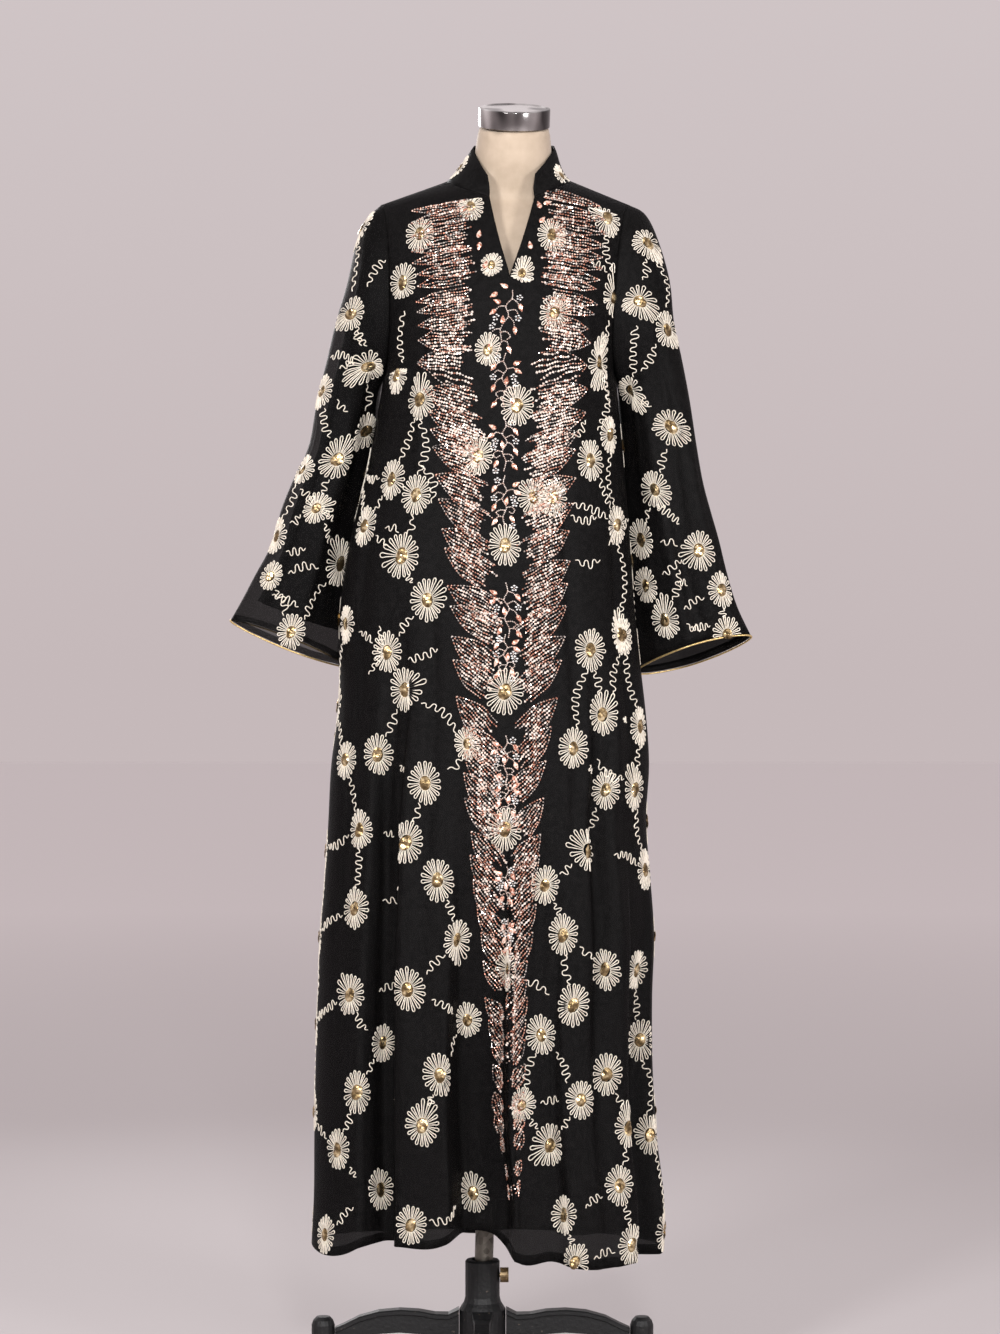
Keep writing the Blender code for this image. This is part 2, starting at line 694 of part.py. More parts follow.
def make_garment():
    body = body_grids()
    sleeves = {side: sleeve_grid(side) for side in SLEEVES}
    collar = collar_grid()
    every = [(grid, False) for grid in body.values()]
    every += [(sleeves["left"], False), (sleeves["right"], True), (collar, False)]
    normals = shared_normals(every)
    top = len(LOWER_HEIGHTS) - 1
    neck_row = top + UPPER_SHARES.index(NECK_SHARE)
    for place in ("front", "back"):
        parts = []
        for side in ("left", "right"):
            outer_edge = "last_column" if (side == "left") == (place == "front") else "first_column"
            inner_edge = "first_column" if outer_edge == "last_column" else "last_column"
            edges = [(outer_edge, 0, None), ("last_row", 0, None), (inner_edge, neck_row + 1, None)]
            parts.append((body[place, side], False, edges))
        add_wall(f"{place}_panel", parts, normals, CLOTH, "georgette")
    for side, grid in sleeves.items():
        add_wall(f"sleeve_{side}", [(grid, side == "right", [("first_row", 0, None)])], normals,
                 CLOTH, "georgette")
    add_wall("collar", [(collar, False, [("first_row", 0, None)])], normals, CLOTH, "georgette")


def ring_point(left, right, front, back, angle, roundness, height):
    middle, half = (left + right) / 2, (right - left) / 2
    depth = front if sin(angle) >= 0 else back
    return np.array([middle + half * signed_power(cos(angle), 2 / roundness),
                     -depth * signed_power(sin(angle), 2 / roundness), height])


def make_body_lining():
    rows = []
    for height in BODY_LINING.place:
        left, right, front, back = (BODY.at(n, height) for n in ("left", "right", "front", "back"))
        tuck = {name: BODY_LINING.at(name, height) for name in ("left", "right", "front", "back")}
        sides = (left + tuck["left"], right - tuck["right"], front - tuck["front"],
                 back - tuck["back"])
        rows.append([ring_point(*sides, 2 * pi * k / BODY_LINING_COLUMNS, RING_ROUNDNESS, height)
                     for k in range(BODY_LINING_COLUMNS + 1)])
    grid = np.array(rows)
    add_wall("lining_body", [(grid, False, [])], grid_normals(grid, False), LINING_CLOTH, "lining")


def make_sleeve_lining(side):
    """A narrower sleeve inside the sheer one, held to it under the shoulder."""
    flip = side == "right"
    grid = sleeve_grid(side)
    normals = grid_normals(grid, flip)
    angles = sleeve_angles()
    rows = []
    for station in SLEEVE_LINING.place.astype(int):
        outer, faces = SLEEVE_LINING.at("outer", station), SLEEVE_LINING.at("faces", station)
        row = []
        for k in range(0, len(angles), 2):
            point = grid[station, k]
            tuck = faces + (outer - faces) * max(0.0, cos(angles[k])) ** 3
            row.append(point - normals[key(point)] * (CLOTH + LINING_GAP + tuck))
        rows.append(row)
    lining = np.array(rows)
    wall = add_wall(f"lining_sleeve_{side}", [(lining, flip, [])], grid_normals(lining, flip),
                    LINING_CLOTH, "lining")
    split_quads(wall)


def make_cuff_piping(side):
    """A thin round cord sewn along the cuff's edge, just below it."""
    angles = sleeve_angles()[:-1]
    loop = []
    for angle in angles:
        edge = sleeve_point(side, angle, CUFF_STATION)
        above = sleeve_point(side, angle, CUFF_STATION - 1)
        loop.append(edge + unit(edge - above) * (PIPING_RADIUS + SEAM_GAP))
    points, faces = [], []
    count, around = len(loop), PIPING_SIDES
    for k, centre in enumerate(loop):
        ahead = unit(loop[(k + 1) % count] - loop[k - 1])
        down = unit(centre - sleeve_point(side, angles[k], CUFF_STATION - 1))
        out = unit(np.cross(ahead, down))
        down = np.cross(out, ahead)
        for n in range(around):
            turn = 2 * pi * n / around
            points.append(centre + (out * cos(turn) + down * sin(turn)) * PIPING_RADIUS)
    for k in range(count):
        for n in range(around):
            a, b = k * around + n, k * around + (n + 1) % around
            c, d = ((k + 1) % count) * around + n, ((k + 1) % count) * around + (n + 1) % around
            faces.append([a, c, d, b])
    piece = add_object(f"cuff_piping_{side}", points, faces, "gold_piping")
    face_outwards(piece)


def face_outwards(piece):
    mesh = bmesh.new()
    mesh.from_mesh(piece.data)
    bmesh.ops.recalc_face_normals(mesh, faces=mesh.faces)
    if mesh.calc_volume(signed=True) < 0:
        bmesh.ops.reverse_faces(mesh, faces=mesh.faces)
    mesh.to_mesh(piece.data)
    mesh.free()


# The dress form and its stand

def make_form():
    columns = [2 * pi * k / FORM_COLUMNS for k in range(FORM_COLUMNS)]
    points, faces = [], []
    for height in FORM.place:
        value = {name: FORM.at(name, height) for name in FORM.values}
        for angle in columns:
            point = ring_point(value["left"], value["right"], value["front"], value["back"], angle,
                               2.0, height)
            point[2] += point[1] * value["slope"]
            point[1] += value["middle"]
            points.append(point)
    rows = len(FORM.place)
    for i in range(rows - 1):
        for j in range(FORM_COLUMNS):
            k = (j + 1) % FORM_COLUMNS
            faces.append([i * FORM_COLUMNS + j, (i + 1) * FORM_COLUMNS + j,
                          (i + 1) * FORM_COLUMNS + k, i * FORM_COLUMNS + k])
    faces.append([j for j in range(FORM_COLUMNS)])
    faces.append([(rows - 1) * FORM_COLUMNS + j for j in reversed(range(FORM_COLUMNS))])
    piece = add_object("form_body", points, faces, "cream_form")
    face_outwards(piece)


def add_turned(name, profile, segments, material, place):
    """A turned solid: profile rows of radius and height, on a matrix that puts it in place."""
    mesh = bmesh.new()
    verts = [mesh.verts.new((radius, 0, height)) for radius, height in profile]
    edges = [mesh.edges.new(pair) for pair in zip(verts, verts[1:])]
    closed = profile[0] == profile[-1]
    bmesh.ops.spin(mesh, geom=verts + edges, cent=(0, 0, 0), axis=(0, 0, 1), angle=2 * pi,
                   steps=segments, use_merge=True)
    bmesh.ops.remove_doubles(mesh, verts=mesh.verts, dist=1e-6)
    if not closed:
        bmesh.ops.holes_fill(mesh, edges=[e for e in mesh.edges if e.is_boundary], sides=0)
    bmesh.ops.recalc_face_normals(mesh, faces=mesh.faces)
    mesh.transform(place)
    data = bpy.data.meshes.new(name)
    mesh.to_mesh(data)
    mesh.free()
    data.materials.append(finish(material))
    piece = bpy.data.objects.new(name, data)
    bpy.context.scene.collection.objects.link(piece)
    data.shade_smooth()
    data.set_sharp_from_angle(angle=SHARP_ANGLE)
    return piece


def lean_matrix(height):
    """The pole's frame at a height: its Z along the leaning pole."""
    return (Matrix.Translation((POLE_X_AT_FLOOR + LEAN * height, 0, height))
            @ Matrix.Rotation(atan(LEAN), 4, "Y"))


def make_cap():
    last = {name: FORM.at(name, FORM.place[-1]) for name in FORM.values}
    centre = Vector(((last["left"] + last["right"]) / 2, last["middle"], FORM.place[-1]))
    tilt = Matrix.Rotation(atan(last["slope"]), 4, "X") @ Matrix.Rotation(atan(LEAN), 4, "Y")
    rounded = CAP_BEVEL * (1 - cos(pi / 4))
    profile = [(CAP_RADIUS, 0.0), (CAP_RADIUS, CAP_HEIGHT - CAP_BEVEL),
               (CAP_RADIUS - rounded, CAP_HEIGHT - rounded), (CAP_RADIUS - CAP_BEVEL, CAP_HEIGHT)]
    place = Matrix.Translation(centre) @ tilt @ Matrix.Translation((0, 0, CAP_SEAT_GAP))
    add_turned("neck_cap", profile, CAP_SIDES, "chrome", place)


def make_pole():
    length = (POLE_TOP - POLE_BOTTOM) / cos(atan(LEAN))
    profile = [(POLE_RADIUS, 0.0), (POLE_RADIUS, length)]
    add_turned("pole", profile, POLE_SIDES, "galvanised", lean_matrix(POLE_BOTTOM))


def make_socket():
    profile = list(zip(SOCKET.values["radius"], SOCKET.values["height"]))
    place = Matrix.Translation((STAND_X, 0, 0)) @ Matrix.Rotation(pi / SOCKET_SIDES, 4, "Z")
    socket = add_turned("stand_socket", profile, SOCKET_SIDES, "cast_iron", place)
    drill = [(SCREW_HOLE_RADIUS, SOCKET_BORE / 2), (SCREW_HOLE_RADIUS, KNOB_OUTER)]
    hole = add_turned("screw_hole_cutter", drill, SCREW_HOLE_SIDES, "cast_iron", screw_matrix())
    hole.hide_render = True
    hole.display_type = "WIRE"
    cut = socket.modifiers.new("screw_hole", "BOOLEAN")
    cut.operation = "DIFFERENCE"
    cut.object = hole


def screw_matrix():
    """The thumb screw's frame: its Z points out along +X from the socket's middle."""
    return Matrix.Translation((STAND_X, 0, SCREW_HEIGHT)) @ Matrix.Rotation(pi / 2, 4, "Y")


def make_thumb_screw():
    profile = [(SCREW_SHANK_RADIUS, SCREW_TIP), (SCREW_SHANK_RADIUS, KNOB_INNER),
               (KNOB_RADIUS - KNOB_BEVEL, KNOB_INNER), (KNOB_RADIUS, KNOB_INNER + KNOB_BEVEL),
               (KNOB_RADIUS, KNOB_OUTER - KNOB_BEVEL), (KNOB_RADIUS - KNOB_BEVEL, KNOB_OUTER)]
    add_turned("thumb_screw", profile, KNOB_SIDES, "antique_brass", screw_matrix())


def make_leg(name, turn):
    """One cast leg: a web under a wider lip, along its table from the socket to the foot."""
    points, faces = [], []
    for reach in LEG.place:
        top, bottom, lip, web = (LEG.at(n, reach) for n in ("top", "bottom", "lip", "web"))
        under = top - LEG_LIP_DEPTH
        half = [(lip - LEG_BEVEL, top), (lip, top - LEG_BEVEL), (lip, under),
                (web, under - LEG_BEVEL), (web, bottom)]
        section = half + [(-across, height) for across, height in reversed(half)]
        points += [Vector((reach, across, height)) for across, height in section]
    size = len(section)
    rows = len(LEG.place)
    for i in range(rows - 1):
        for j in range(size):
            k = (j + 1) % size
            faces.append([i * size + j, i * size + k, (i + 1) * size + k, (i + 1) * size + j])
    faces.append([j for j in range(size)])
    faces.append([(rows - 1) * size + j for j in reversed(range(size))])
    place = Matrix.Translation((STAND_X, 0, 0)) @ Matrix.Rotation(turn, 4, "Z")
    piece = add_object(name, [place @ p for p in points], faces, "cast_iron")
    face_outwards(piece)
    piece.data.set_sharp_from_angle(angle=SHARP_ANGLE)


def make_foot(name, turn):
    profile = list(zip(FOOT.values["radius"], FOOT.values["height"]))
    place = Matrix.Translation((STAND_X, 0, 0)) @ Matrix.Rotation(turn, 4, "Z")
    add_turned(name, profile, FOOT_SIDES, "cast_iron", place @ Matrix.Translation((LEG_REACH, 0, 0)))


def make_stand():
    make_socket()
    for name, turn in (("right", 0), ("back", pi / 2), ("left", pi), ("front", 3 * pi / 2)):
        make_leg(f"leg_{name}", turn)
        make_foot(f"foot_{name}", turn)
    make_thumb_screw()
    make_pole()


def main():
    clear_scene()
    make_garment()
    make_body_lining()
    for side in SLEEVES:
        make_sleeve_lining(side)
        make_cuff_piping(side)
    make_form()
    make_cap()
    make_stand()


main()
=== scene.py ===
"""The looks of a black embroidered abaya on a dress form with a cast stand.

Metres, +Z up, front towards -Y. The cloth pieces are thin shells on the solids' own forms, with
listed creases. Daisies of couched cord, bands of beaded leaves and a beaded vine are laid
on the cloth in their own flat sizes, at places read off the photo.
"""
from collections import namedtuple
from math import atan, cos, pi, radians, sin

import bmesh
import bpy
import numpy as np
from mathutils import Matrix, Vector


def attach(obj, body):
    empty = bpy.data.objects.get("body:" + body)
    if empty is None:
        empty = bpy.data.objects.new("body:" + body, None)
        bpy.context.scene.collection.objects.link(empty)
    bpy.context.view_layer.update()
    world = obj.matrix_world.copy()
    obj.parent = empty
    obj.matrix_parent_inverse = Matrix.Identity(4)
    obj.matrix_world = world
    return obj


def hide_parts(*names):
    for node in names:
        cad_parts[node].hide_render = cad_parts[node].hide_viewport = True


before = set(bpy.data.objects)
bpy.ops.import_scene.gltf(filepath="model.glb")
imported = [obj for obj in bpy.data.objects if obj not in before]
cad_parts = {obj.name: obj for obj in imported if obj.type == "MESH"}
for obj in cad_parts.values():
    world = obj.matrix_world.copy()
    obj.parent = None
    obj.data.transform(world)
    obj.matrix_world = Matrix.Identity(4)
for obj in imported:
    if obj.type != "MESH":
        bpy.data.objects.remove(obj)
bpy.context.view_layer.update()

# The photo's camera looks level along +Y, and PIXEL is the size of its pixels on the plane y = 0
CAMERA = (0.01215, -4.6, 0.97065)
LENS = 91.94
SENSOR_WIDTH = 36
PHOTO_MIDDLE = (500, 667)
PIXEL = 0.00135

# A plain pale studio. The floor's colour is painted darker near the middle, as painted shade against the
# softboxes' pool of light there: share of the way out, and shade there
HORIZON_COLOUR = (0.56, 0.485, 0.492)
ZENITH_COLOUR = (0.76, 0.70, 0.71)
ZENITH_PLACE = 0.6
WORLD_STRENGTH = 1.0
FLOOR_SIZE = 60
FLOOR_COLOUR = (0.72, 0.67, 0.675)
FLOOR_PAINTED_SHADE = ((0.0, 0.68), (0.06, 0.70), (0.30, 1.0))
# Each softbox's place, the point that it is turned to, its width and height, and its power
SOFTBOXES = {
    "key_softbox": ((-1.9, -3.7, 2.3), (0, 0, 1.2), (0.7, 0.7), 25),
    "fill_softbox": ((2.5, -3.4, 1.5), (0, 0, 1.15), (0.8, 1.2), 21),
    "front_softbox": ((0.3, -4.5, 1.9), (0, 0, 1.25), (0.35, 0.35), 21),
    "back_softbox": ((-1.4, 3.4, 2.2), (0, 0, 1.2), (1.4, 1.4), 17),
}
SOFTBOX_SPREAD = 90

# Garment heights, and how far up from the hem its uneven line is felt
HEM = 0.190
UNDERARM = 1.361
HEM_REACH = 0.35

# Rings of the body, and the armholes: how far they bow in and over what share of the sleeve, half
# the angle under the arm where they stand clear of the body, their gap there, and the most depth of
# an upper row at its armhole as a share of its depth in the middle
RING_ROUNDNESS = 2.25
ARMHOLE_ROUNDNESS = 2.1
ARMHOLE_BOW = 0.012
ARMHOLE_BOW_SHARE = 0.25
UNDERARM_ANGLE = 0.13 * pi
UNDERARM_GAP = 0.0008
ROW_END_DEPTH = 0.95

# Shares of the way up the armhole: the V point, and where the V edge meets the collar
V_SHARE = 0.45
NECK_SHARE = 0.80
SHOULDER_DEPTH_SHARE = 0.42

# Cloth: its thickness, how much it covers, gaps at seams and in the turned up hem, and a margin
# that keeps a sheet's width times length above its area
THIN_CLOTH = 0.0008
COLLAR_CLOTH = 0.0012
GEORGETTE_COVER = 0.84
# The left sleeve's copy covers less, as painted light on that sleeve
LIT_SLEEVE_COVER = 0.56
DOUBLED_COVER = 0.96
SEAM_GAP = 0.0003
HEM_GAP = 0.0004
SHEET_MARGIN = 1.0005
# Linings: their gap to the georgette at the closest, the height where the body's begins to near it
# and over what height, the share of its own room that it keeps there, and how fast a sleeve's room
# at the outer edge fades round the sleeve
LINING_GAP = 0.0005
LINING_MEETS = 1.10
LINING_NEARS_OVER = 0.10
LINING_CLOSE = 0.9
LINING_EDGE_POWER = 3

# How finely the cloth is made
LOWER_ROWS = 91
UPPER_ROWS = 28
FRONT_HALF_COLUMNS = 69
BACK_HALF_COLUMNS = 51
SLEEVE_ROWS = 57
SLEEVE_COLUMNS_AROUND = 97
COLLAR_COLUMNS = 91
COLLAR_GRID_ROWS = 9
LINING_FROM_ROW = 72
LINING_LOWER_ROWS = 40
# Columns are spaced along the folds just above the hem, measured in short steps that are each
# taken a little longer, so that the deep folds don't get all the columns
HEM_SAMPLES = 900
HEM_SAMPLES_UP = 0.02
COLUMN_EVENING = 0.0006
UPPER_STEPS = np.sort(np.append(np.linspace(0, 1, UPPER_ROWS - 2), (V_SHARE, NECK_SHARE)))
ROW_SHARES = np.concatenate([np.zeros(LOWER_ROWS), UPPER_STEPS[1:]])


class Table:
    """Rows of sizes under named columns, read as smooth curves along the first column."""

    def __init__(self, columns, *rows):
        names = columns.split()
        self.values = dict(zip(names, np.array(rows, float).T))
        self.place = self.values[names[0]]
        self.slopes = {name: np.gradient(ys, self.place) for name, ys in self.values.items()}

    def at(self, name, place):
        ys = self.values[name]
        place = min(max(place, self.place[0]), self.place[-1])
        k = min(int(np.searchsorted(self.place, place, side="right")) - 1, len(ys) - 2)
        width = self.place[k + 1] - self.place[k]
        slopes = self.slopes[name]
        s = (place - self.place[k]) / width
        start = (1 + 2 * s) * (1 - s) ** 2 * ys[k] + s * (1 - s) ** 2 * width * slopes[k]
        return float(start + s * s * (3 - 2 * s) * ys[k + 1] + s * s * (s - 1) * width * slopes[k + 1])


def photo_x(column, digits=3):
    """X on the plane y = 0 of a column of the photo."""
    return round((column - PHOTO_MIDDLE[0]) * PIXEL + CAMERA[0], digits)


def photo_height(row):
    """Height on the plane y = 0 of a row of the photo."""
    return round(CAMERA[2] + (PHOTO_MIDDLE[1] - row) * PIXEL, 3)


# The body as worn: sides as seen from the front, and how far it stands forward and back
BODY = Table(
    "height left right front back",
    (0.190, -0.2420, 0.2325, 0.150, 0.135),
    (0.253, -0.2390, 0.2336, 0.149, 0.134),
    (0.336, -0.2383, 0.2241, 0.148, 0.133),
    (0.416, -0.2369, 0.2187, 0.147, 0.131),
    (0.525, -0.2336, 0.2174, 0.146, 0.129),
    (0.613, -0.2299, 0.2200, 0.145, 0.127),
    (0.683, -0.2241, 0.2153, 0.144, 0.126),
    (0.764, -0.2194, 0.2093, 0.142, 0.126),
    (0.841, -0.2153, 0.2133, 0.140, 0.128),
    (0.918, -0.2052, 0.2079, 0.138, 0.130),
    (0.965, -0.2039, 0.2025, 0.137, 0.130),
    (1.045, -0.2039, 0.1943, 0.135, 0.126),
    (1.169, -0.1836, 0.1855, 0.132, 0.116),
    (1.223, -0.1701, 0.1810, 0.131, 0.112),
    (1.331, -0.1499, 0.1715, 0.130, 0.108),
    (1.361, -0.1451, 0.1689, 0.129, 0.107),
)

# Height of the hem round the body: 0 degrees at the right side, 90 front, 180 left, 270 back
HEM_LINE = Table(
    "angle height",
    (0, 0.186),
    (33, 0.1825),
    (64, 0.1825),
    (70, 0.1886),
    (82, 0.1886),
    (89, 0.2190),
    (98, 0.2190),
    (104, 0.2104),
    (118, 0.2104),
    (131, 0.2077),
    (140, 0.1956),
    (180, 0.1956),
    (225, 0.192),
    (270, 0.190),
    (315, 0.188),
    (360, 0.186),
)

# Folds pushed into the skirt: side is 1 in front and -1 behind, start and end are X at the hem,
# each edge has its own width, top and full are the heights where it starts and is whole, and
# at_hem is the share of it that is left at the hem
Fold = namedtuple("Fold", "side start end push start_edge end_edge top full at_hem")
FOLDS = (
    Fold(1, -0.170, -0.131, 0.046, 0.014, 0.007, 1.10, 0.34, 1.0),
    Fold(1, -0.050, 0.028, 0.072, 0.016, 0.009, 0.84, 0.22, 1.0),
    Fold(1, 0.0325, 0.100, 0.022, 0.009, 0.007, 0.90, 0.30, 1.0),
    Fold(1, 0.146, 0.166, 0.016, 0.008, 0.008, 1.06, 0.70, 0.25),
    Fold(1, 0.198, 0.2255, 0.034, 0.008, 0.005, 0.80, 0.25, 1.0),
    Fold(-1, -0.150, -0.110, 0.026, 0.016, 0.016, 1.00, 0.36, 1.0),
    Fold(-1, -0.045, 0.010, 0.036, 0.020, 0.020, 1.10, 0.36, 1.0),
    Fold(-1, 0.095, 0.140, 0.030, 0.018, 0.018, 0.95, 0.36, 1.0),
)

# Front neck edge below the collar: the V from its point up to the collar's end, on each side
V_EDGE = Table(
    "share left right forward height",
    (0.00, 0.0119, 0.0119, 0.129, 1.361),
    (0.25, 0.0205, 0.0205, 0.125, 1.436),
    (V_SHARE, 0.0250, 0.0250, 0.117, 1.486),
    (0.56, 0.0140, 0.0385, 0.104, 1.526),
    (0.68, 0.0050, 0.0495, 0.089, 1.563),
    (NECK_SHARE, -0.0018, 0.0580, 0.0714, 1.596),
)
BACK_LINE = Table(
    "share x back height",
    (0.00, 0.0119, 0.107, 1.361),
    (0.30, 0.0170, 0.111, 1.450),
    (0.60, 0.0216, 0.096, 1.562),
    (NECK_SHARE, 0.0237, 0.062, 1.640),
)

# The neck seam, round the neck from the front's middle by way of the left side and the back
NECK_X = 0.0237
NECK_HALF_WIDTH = 0.083
NECK_FRONT = 0.075
NECK_BACK = 0.062
NECK_START = 17.9
NECK_END = 335.6
COLLAR = Table(
    "angle seam_height top_x top_y top_height",
    (NECK_START, 1.596, -0.0050, -0.066, 1.625),
    (50, 1.612, -0.0175, -0.040, 1.650),
    (90, 1.626, -0.0240, -0.002, 1.672),
    (135, 1.636, -0.0100, 0.041, 1.681),
    (180, 1.640, 0.0308, 0.058, 1.684),
    (225, 1.636, 0.0715, 0.041, 1.681),
    (270, 1.627, 0.0860, -0.002, 1.672),
    (310, 1.612, 0.0755, -0.040, 1.650),
    (NECK_END, 1.597, 0.0596, -0.066, 1.627),
)
COLLAR_FLARE = 0.006

# Sleeves from the shoulder to the cuff: the outer edge, the height of the inner edge, which hangs
# beside the body, and how far the sleeve stands forward and back
SLEEVE_COLUMNS = "along outer_x outer_height inner_height forward back"
SLEEVES = {
    "left": Table(
        SLEEVE_COLUMNS,
        (0, -0.1485, 1.5944, 1.3610, 0.062, 0.062),
        (1, -0.1674, 1.5755, 1.3540, 0.066, 0.064),
        (2, -0.1823, 1.5404, 1.3440, 0.067, 0.064),
        (3, -0.1944, 1.4864, 1.3280, 0.065, 0.062),
        (4, -0.2093, 1.4364, 1.3070, 0.061, 0.060),
        (5, -0.2214, 1.3851, 1.2770, 0.057, 0.058),
        (6, -0.2349, 1.3311, 1.2450, 0.054, 0.056),
        (7, -0.2457, 1.2704, 1.2070, 0.052, 0.055),
        (8, -0.2673, 1.2231, 1.1690, 0.052, 0.054),
        (9, -0.2835, 1.1826, 1.1310, 0.051, 0.053),
        (10, -0.2970, 1.1354, 1.0935, 0.049, 0.052),
        (11, -0.3186, 1.0949, 1.0530, 0.047, 0.050),
        (12, -0.3348, 1.0638, 1.0140, 0.045, 0.048),
        (13, -0.3510, 1.0348, 0.9733, 0.043, 0.046),
    ),
    "right": Table(
        SLEEVE_COLUMNS,
        (0, 0.1863, 1.5944, 1.3610, 0.062, 0.062),
        (1, 0.2079, 1.5822, 1.3540, 0.066, 0.064),
        (2, 0.2241, 1.5512, 1.3440, 0.067, 0.064),
        (3, 0.2410, 1.4931, 1.3280, 0.065, 0.062),
        (4, 0.2470, 1.4364, 1.3050, 0.061, 0.060),
        (5, 0.2579, 1.3851, 1.2720, 0.057, 0.058),
        (6, 0.2682, 1.3311, 1.2360, 0.054, 0.056),
        (7, 0.2774, 1.2704, 1.1960, 0.052, 0.055),
        (8, 0.2862, 1.2204, 1.1570, 0.051, 0.054),
        (9, 0.2970, 1.1799, 1.1180, 0.050, 0.053),
        (10, 0.3078, 1.1421, 1.0800, 0.048, 0.052),
        (11, 0.3186, 1.0976, 1.0420, 0.046, 0.050),
        (12, 0.3321, 1.0530, 1.0030, 0.044, 0.048),
        (13, 0.3510, 1.0125, 0.9653, 0.042, 0.046),
    ),
}
CUFF_STATION = 13

# How the inner edge hangs: tucked in behind the body's side, and how far back it lies
SLEEVE_HANG = Table(
    "station tuck back",
    (0, 0.0000, 0.000),
    (1, -0.0018, 0.004),
    (2, -0.0018, 0.014),
    (3, -0.0012, 0.028),
    (4, 0.0005, 0.040),
    (5, 0.0030, 0.050),
    (7, 0.0065, 0.055),
    (10, 0.0070, 0.055),
    (13, 0.0060, 0.055),
)

# The cuff's edge: how much its front rises, and how it waves
CUFF_LIFT = {"left": -0.008, "right": 0.014}
CUFF_WAVES = 3
CUFF_WAVE_DEPTH = 0.005
CUFF_ROUNDNESS = 1.7

# Linings, which lie inside the sheer cloth: how far in from it on each side
BODY_LINING = Table(
    "height left right front back",
    (0.262, 0.026, 0.046, 0.092, 0.050),
    (0.360, 0.024, 0.042, 0.090, 0.048),
    (0.500, 0.022, 0.034, 0.072, 0.046),
    (0.650, 0.022, 0.024, 0.048, 0.038),
    (0.800, 0.022, 0.016, 0.034, 0.030),
    (0.950, 0.021, 0.012, 0.018, 0.016),
    (1.100, 0.017, 0.009, 0.009, 0.010),
    (1.220, 0.010, 0.006, 0.006, 0.006),
    (1.330, 0.0026, 0.0026, 0.0026, 0.0026),
)
SLEEVE_LINING = Table(
    "station outer faces",
    (1, 0.000, 0.000),
    (2, 0.008, 0.002),
    (3, 0.013, 0.003),
    (4, 0.015, 0.003),
    (6, 0.016, 0.004),
    (8, 0.018, 0.004),
    (10, 0.019, 0.005),
    (12, 0.020, 0.005),
)

# The hem's middle and half width, which place the folds and creases
HEM_MIDDLE = (BODY.at("left", HEM) + BODY.at("right", HEM)) / 2
HEM_HALF = (BODY.at("right", HEM) - BODY.at("left", HEM)) / 2
# Soft creases: place at the top and its height, place at the foot and its height, width, depth.
# Places are X at the hem on the body, and degrees and stations on a sleeve
FRONT_CREASES = (
    (-0.205, 1.30, -0.214, 0.60, 0.012, -0.0050),
    (-0.154, 0.99, -0.162, 0.66, 0.009, -0.0060),
    (-0.128, 0.88, -0.112, 0.36, 0.014, 0.0050),
    (-0.088, 1.18, -0.098, 0.62, 0.012, -0.0040),
    (-0.030, 1.02, -0.038, 0.52, 0.014, 0.0035),
    (0.060, 1.16, 0.068, 0.48, 0.012, -0.0045),
    (0.092, 0.86, 0.083, 0.32, 0.010, 0.0040),
    (0.118, 1.27, 0.126, 0.74, 0.012, -0.0045),
    (0.178, 1.02, 0.184, 0.44, 0.010, 0.0055),
    (0.206, 1.28, 0.201, 0.84, 0.010, -0.0045),
    (-0.190, 1.52, -0.140, 1.24, 0.014, 0.0040),
    (-0.168, 1.50, -0.186, 1.30, 0.010, -0.0012),
    (0.176, 1.52, 0.136, 1.22, 0.014, 0.0035),
    (0.196, 1.47, 0.206, 1.26, 0.009, 0.0030),
)
BACK_CREASES = (
    (-0.196, 1.32, -0.204, 0.66, 0.012, -0.0045),
    (-0.130, 1.14, -0.142, 0.48, 0.013, -0.0050),
    (-0.078, 1.22, -0.070, 0.80, 0.012, 0.0040),
    (-0.020, 1.26, -0.028, 0.58, 0.013, -0.0035),
    (0.036, 1.04, 0.048, 0.40, 0.012, 0.0045),
    (0.074, 1.30, 0.066, 0.92, 0.010, -0.0030),
    (0.118, 1.10, 0.126, 0.50, 0.011, -0.0050),
    (0.168, 1.24, 0.160, 0.60, 0.012, 0.0045),
    (0.204, 1.30, 0.210, 0.82, 0.010, -0.0045),
    (-0.160, 1.54, -0.110, 1.28, 0.014, 0.0040),
    (0.150, 1.54, 0.100, 1.30, 0.014, 0.0040),
)
SLEEVE_CREASES = {
    "left": (
        (70, 2.0, 64, 12.6, 0.20, -0.0050), (96, 4.0, 104, 13.6, 0.22, 0.0045),
        (128, 1.6, 122, 9.0, 0.17, -0.0055), (150, 4.5, 146, 13.6, 0.15, 0.0040),
        (38, 5.0, 44, 13.6, 0.20, 0.0040), (112, 7.5, 118, 13.8, 0.14, -0.0045),
        (250, 2.2, 244, 12.0, 0.20, -0.0055), (288, 4.0, 296, 13.6, 0.20, 0.0045),
        (222, 1.8, 228, 9.0, 0.17, -0.0045), (266, 7.0, 270, 13.6, 0.16, 0.0040),
        (318, 3.5, 312, 11.0, 0.18, -0.0040),
    ),
    "right": (
        (64, 2.4, 70, 11.6, 0.20, -0.0050), (100, 3.0, 92, 13.6, 0.21, 0.0050),
        (132, 1.8, 126, 8.6, 0.16, -0.0055), (148, 5.5, 150, 13.6, 0.16, 0.0040),
        (34, 6.0, 40, 13.6, 0.20, 0.0045), (80, 8.0, 74, 13.8, 0.13, -0.0045),
        (246, 2.0, 252, 11.4, 0.20, -0.0050), (284, 4.6, 276, 13.6, 0.20, 0.0045),
        (220, 2.2, 214, 9.6, 0.17, -0.0045), (262, 7.4, 258, 13.6, 0.15, 0.0045),
        (322, 3.0, 330, 10.0, 0.17, -0.0040),
    ),
}
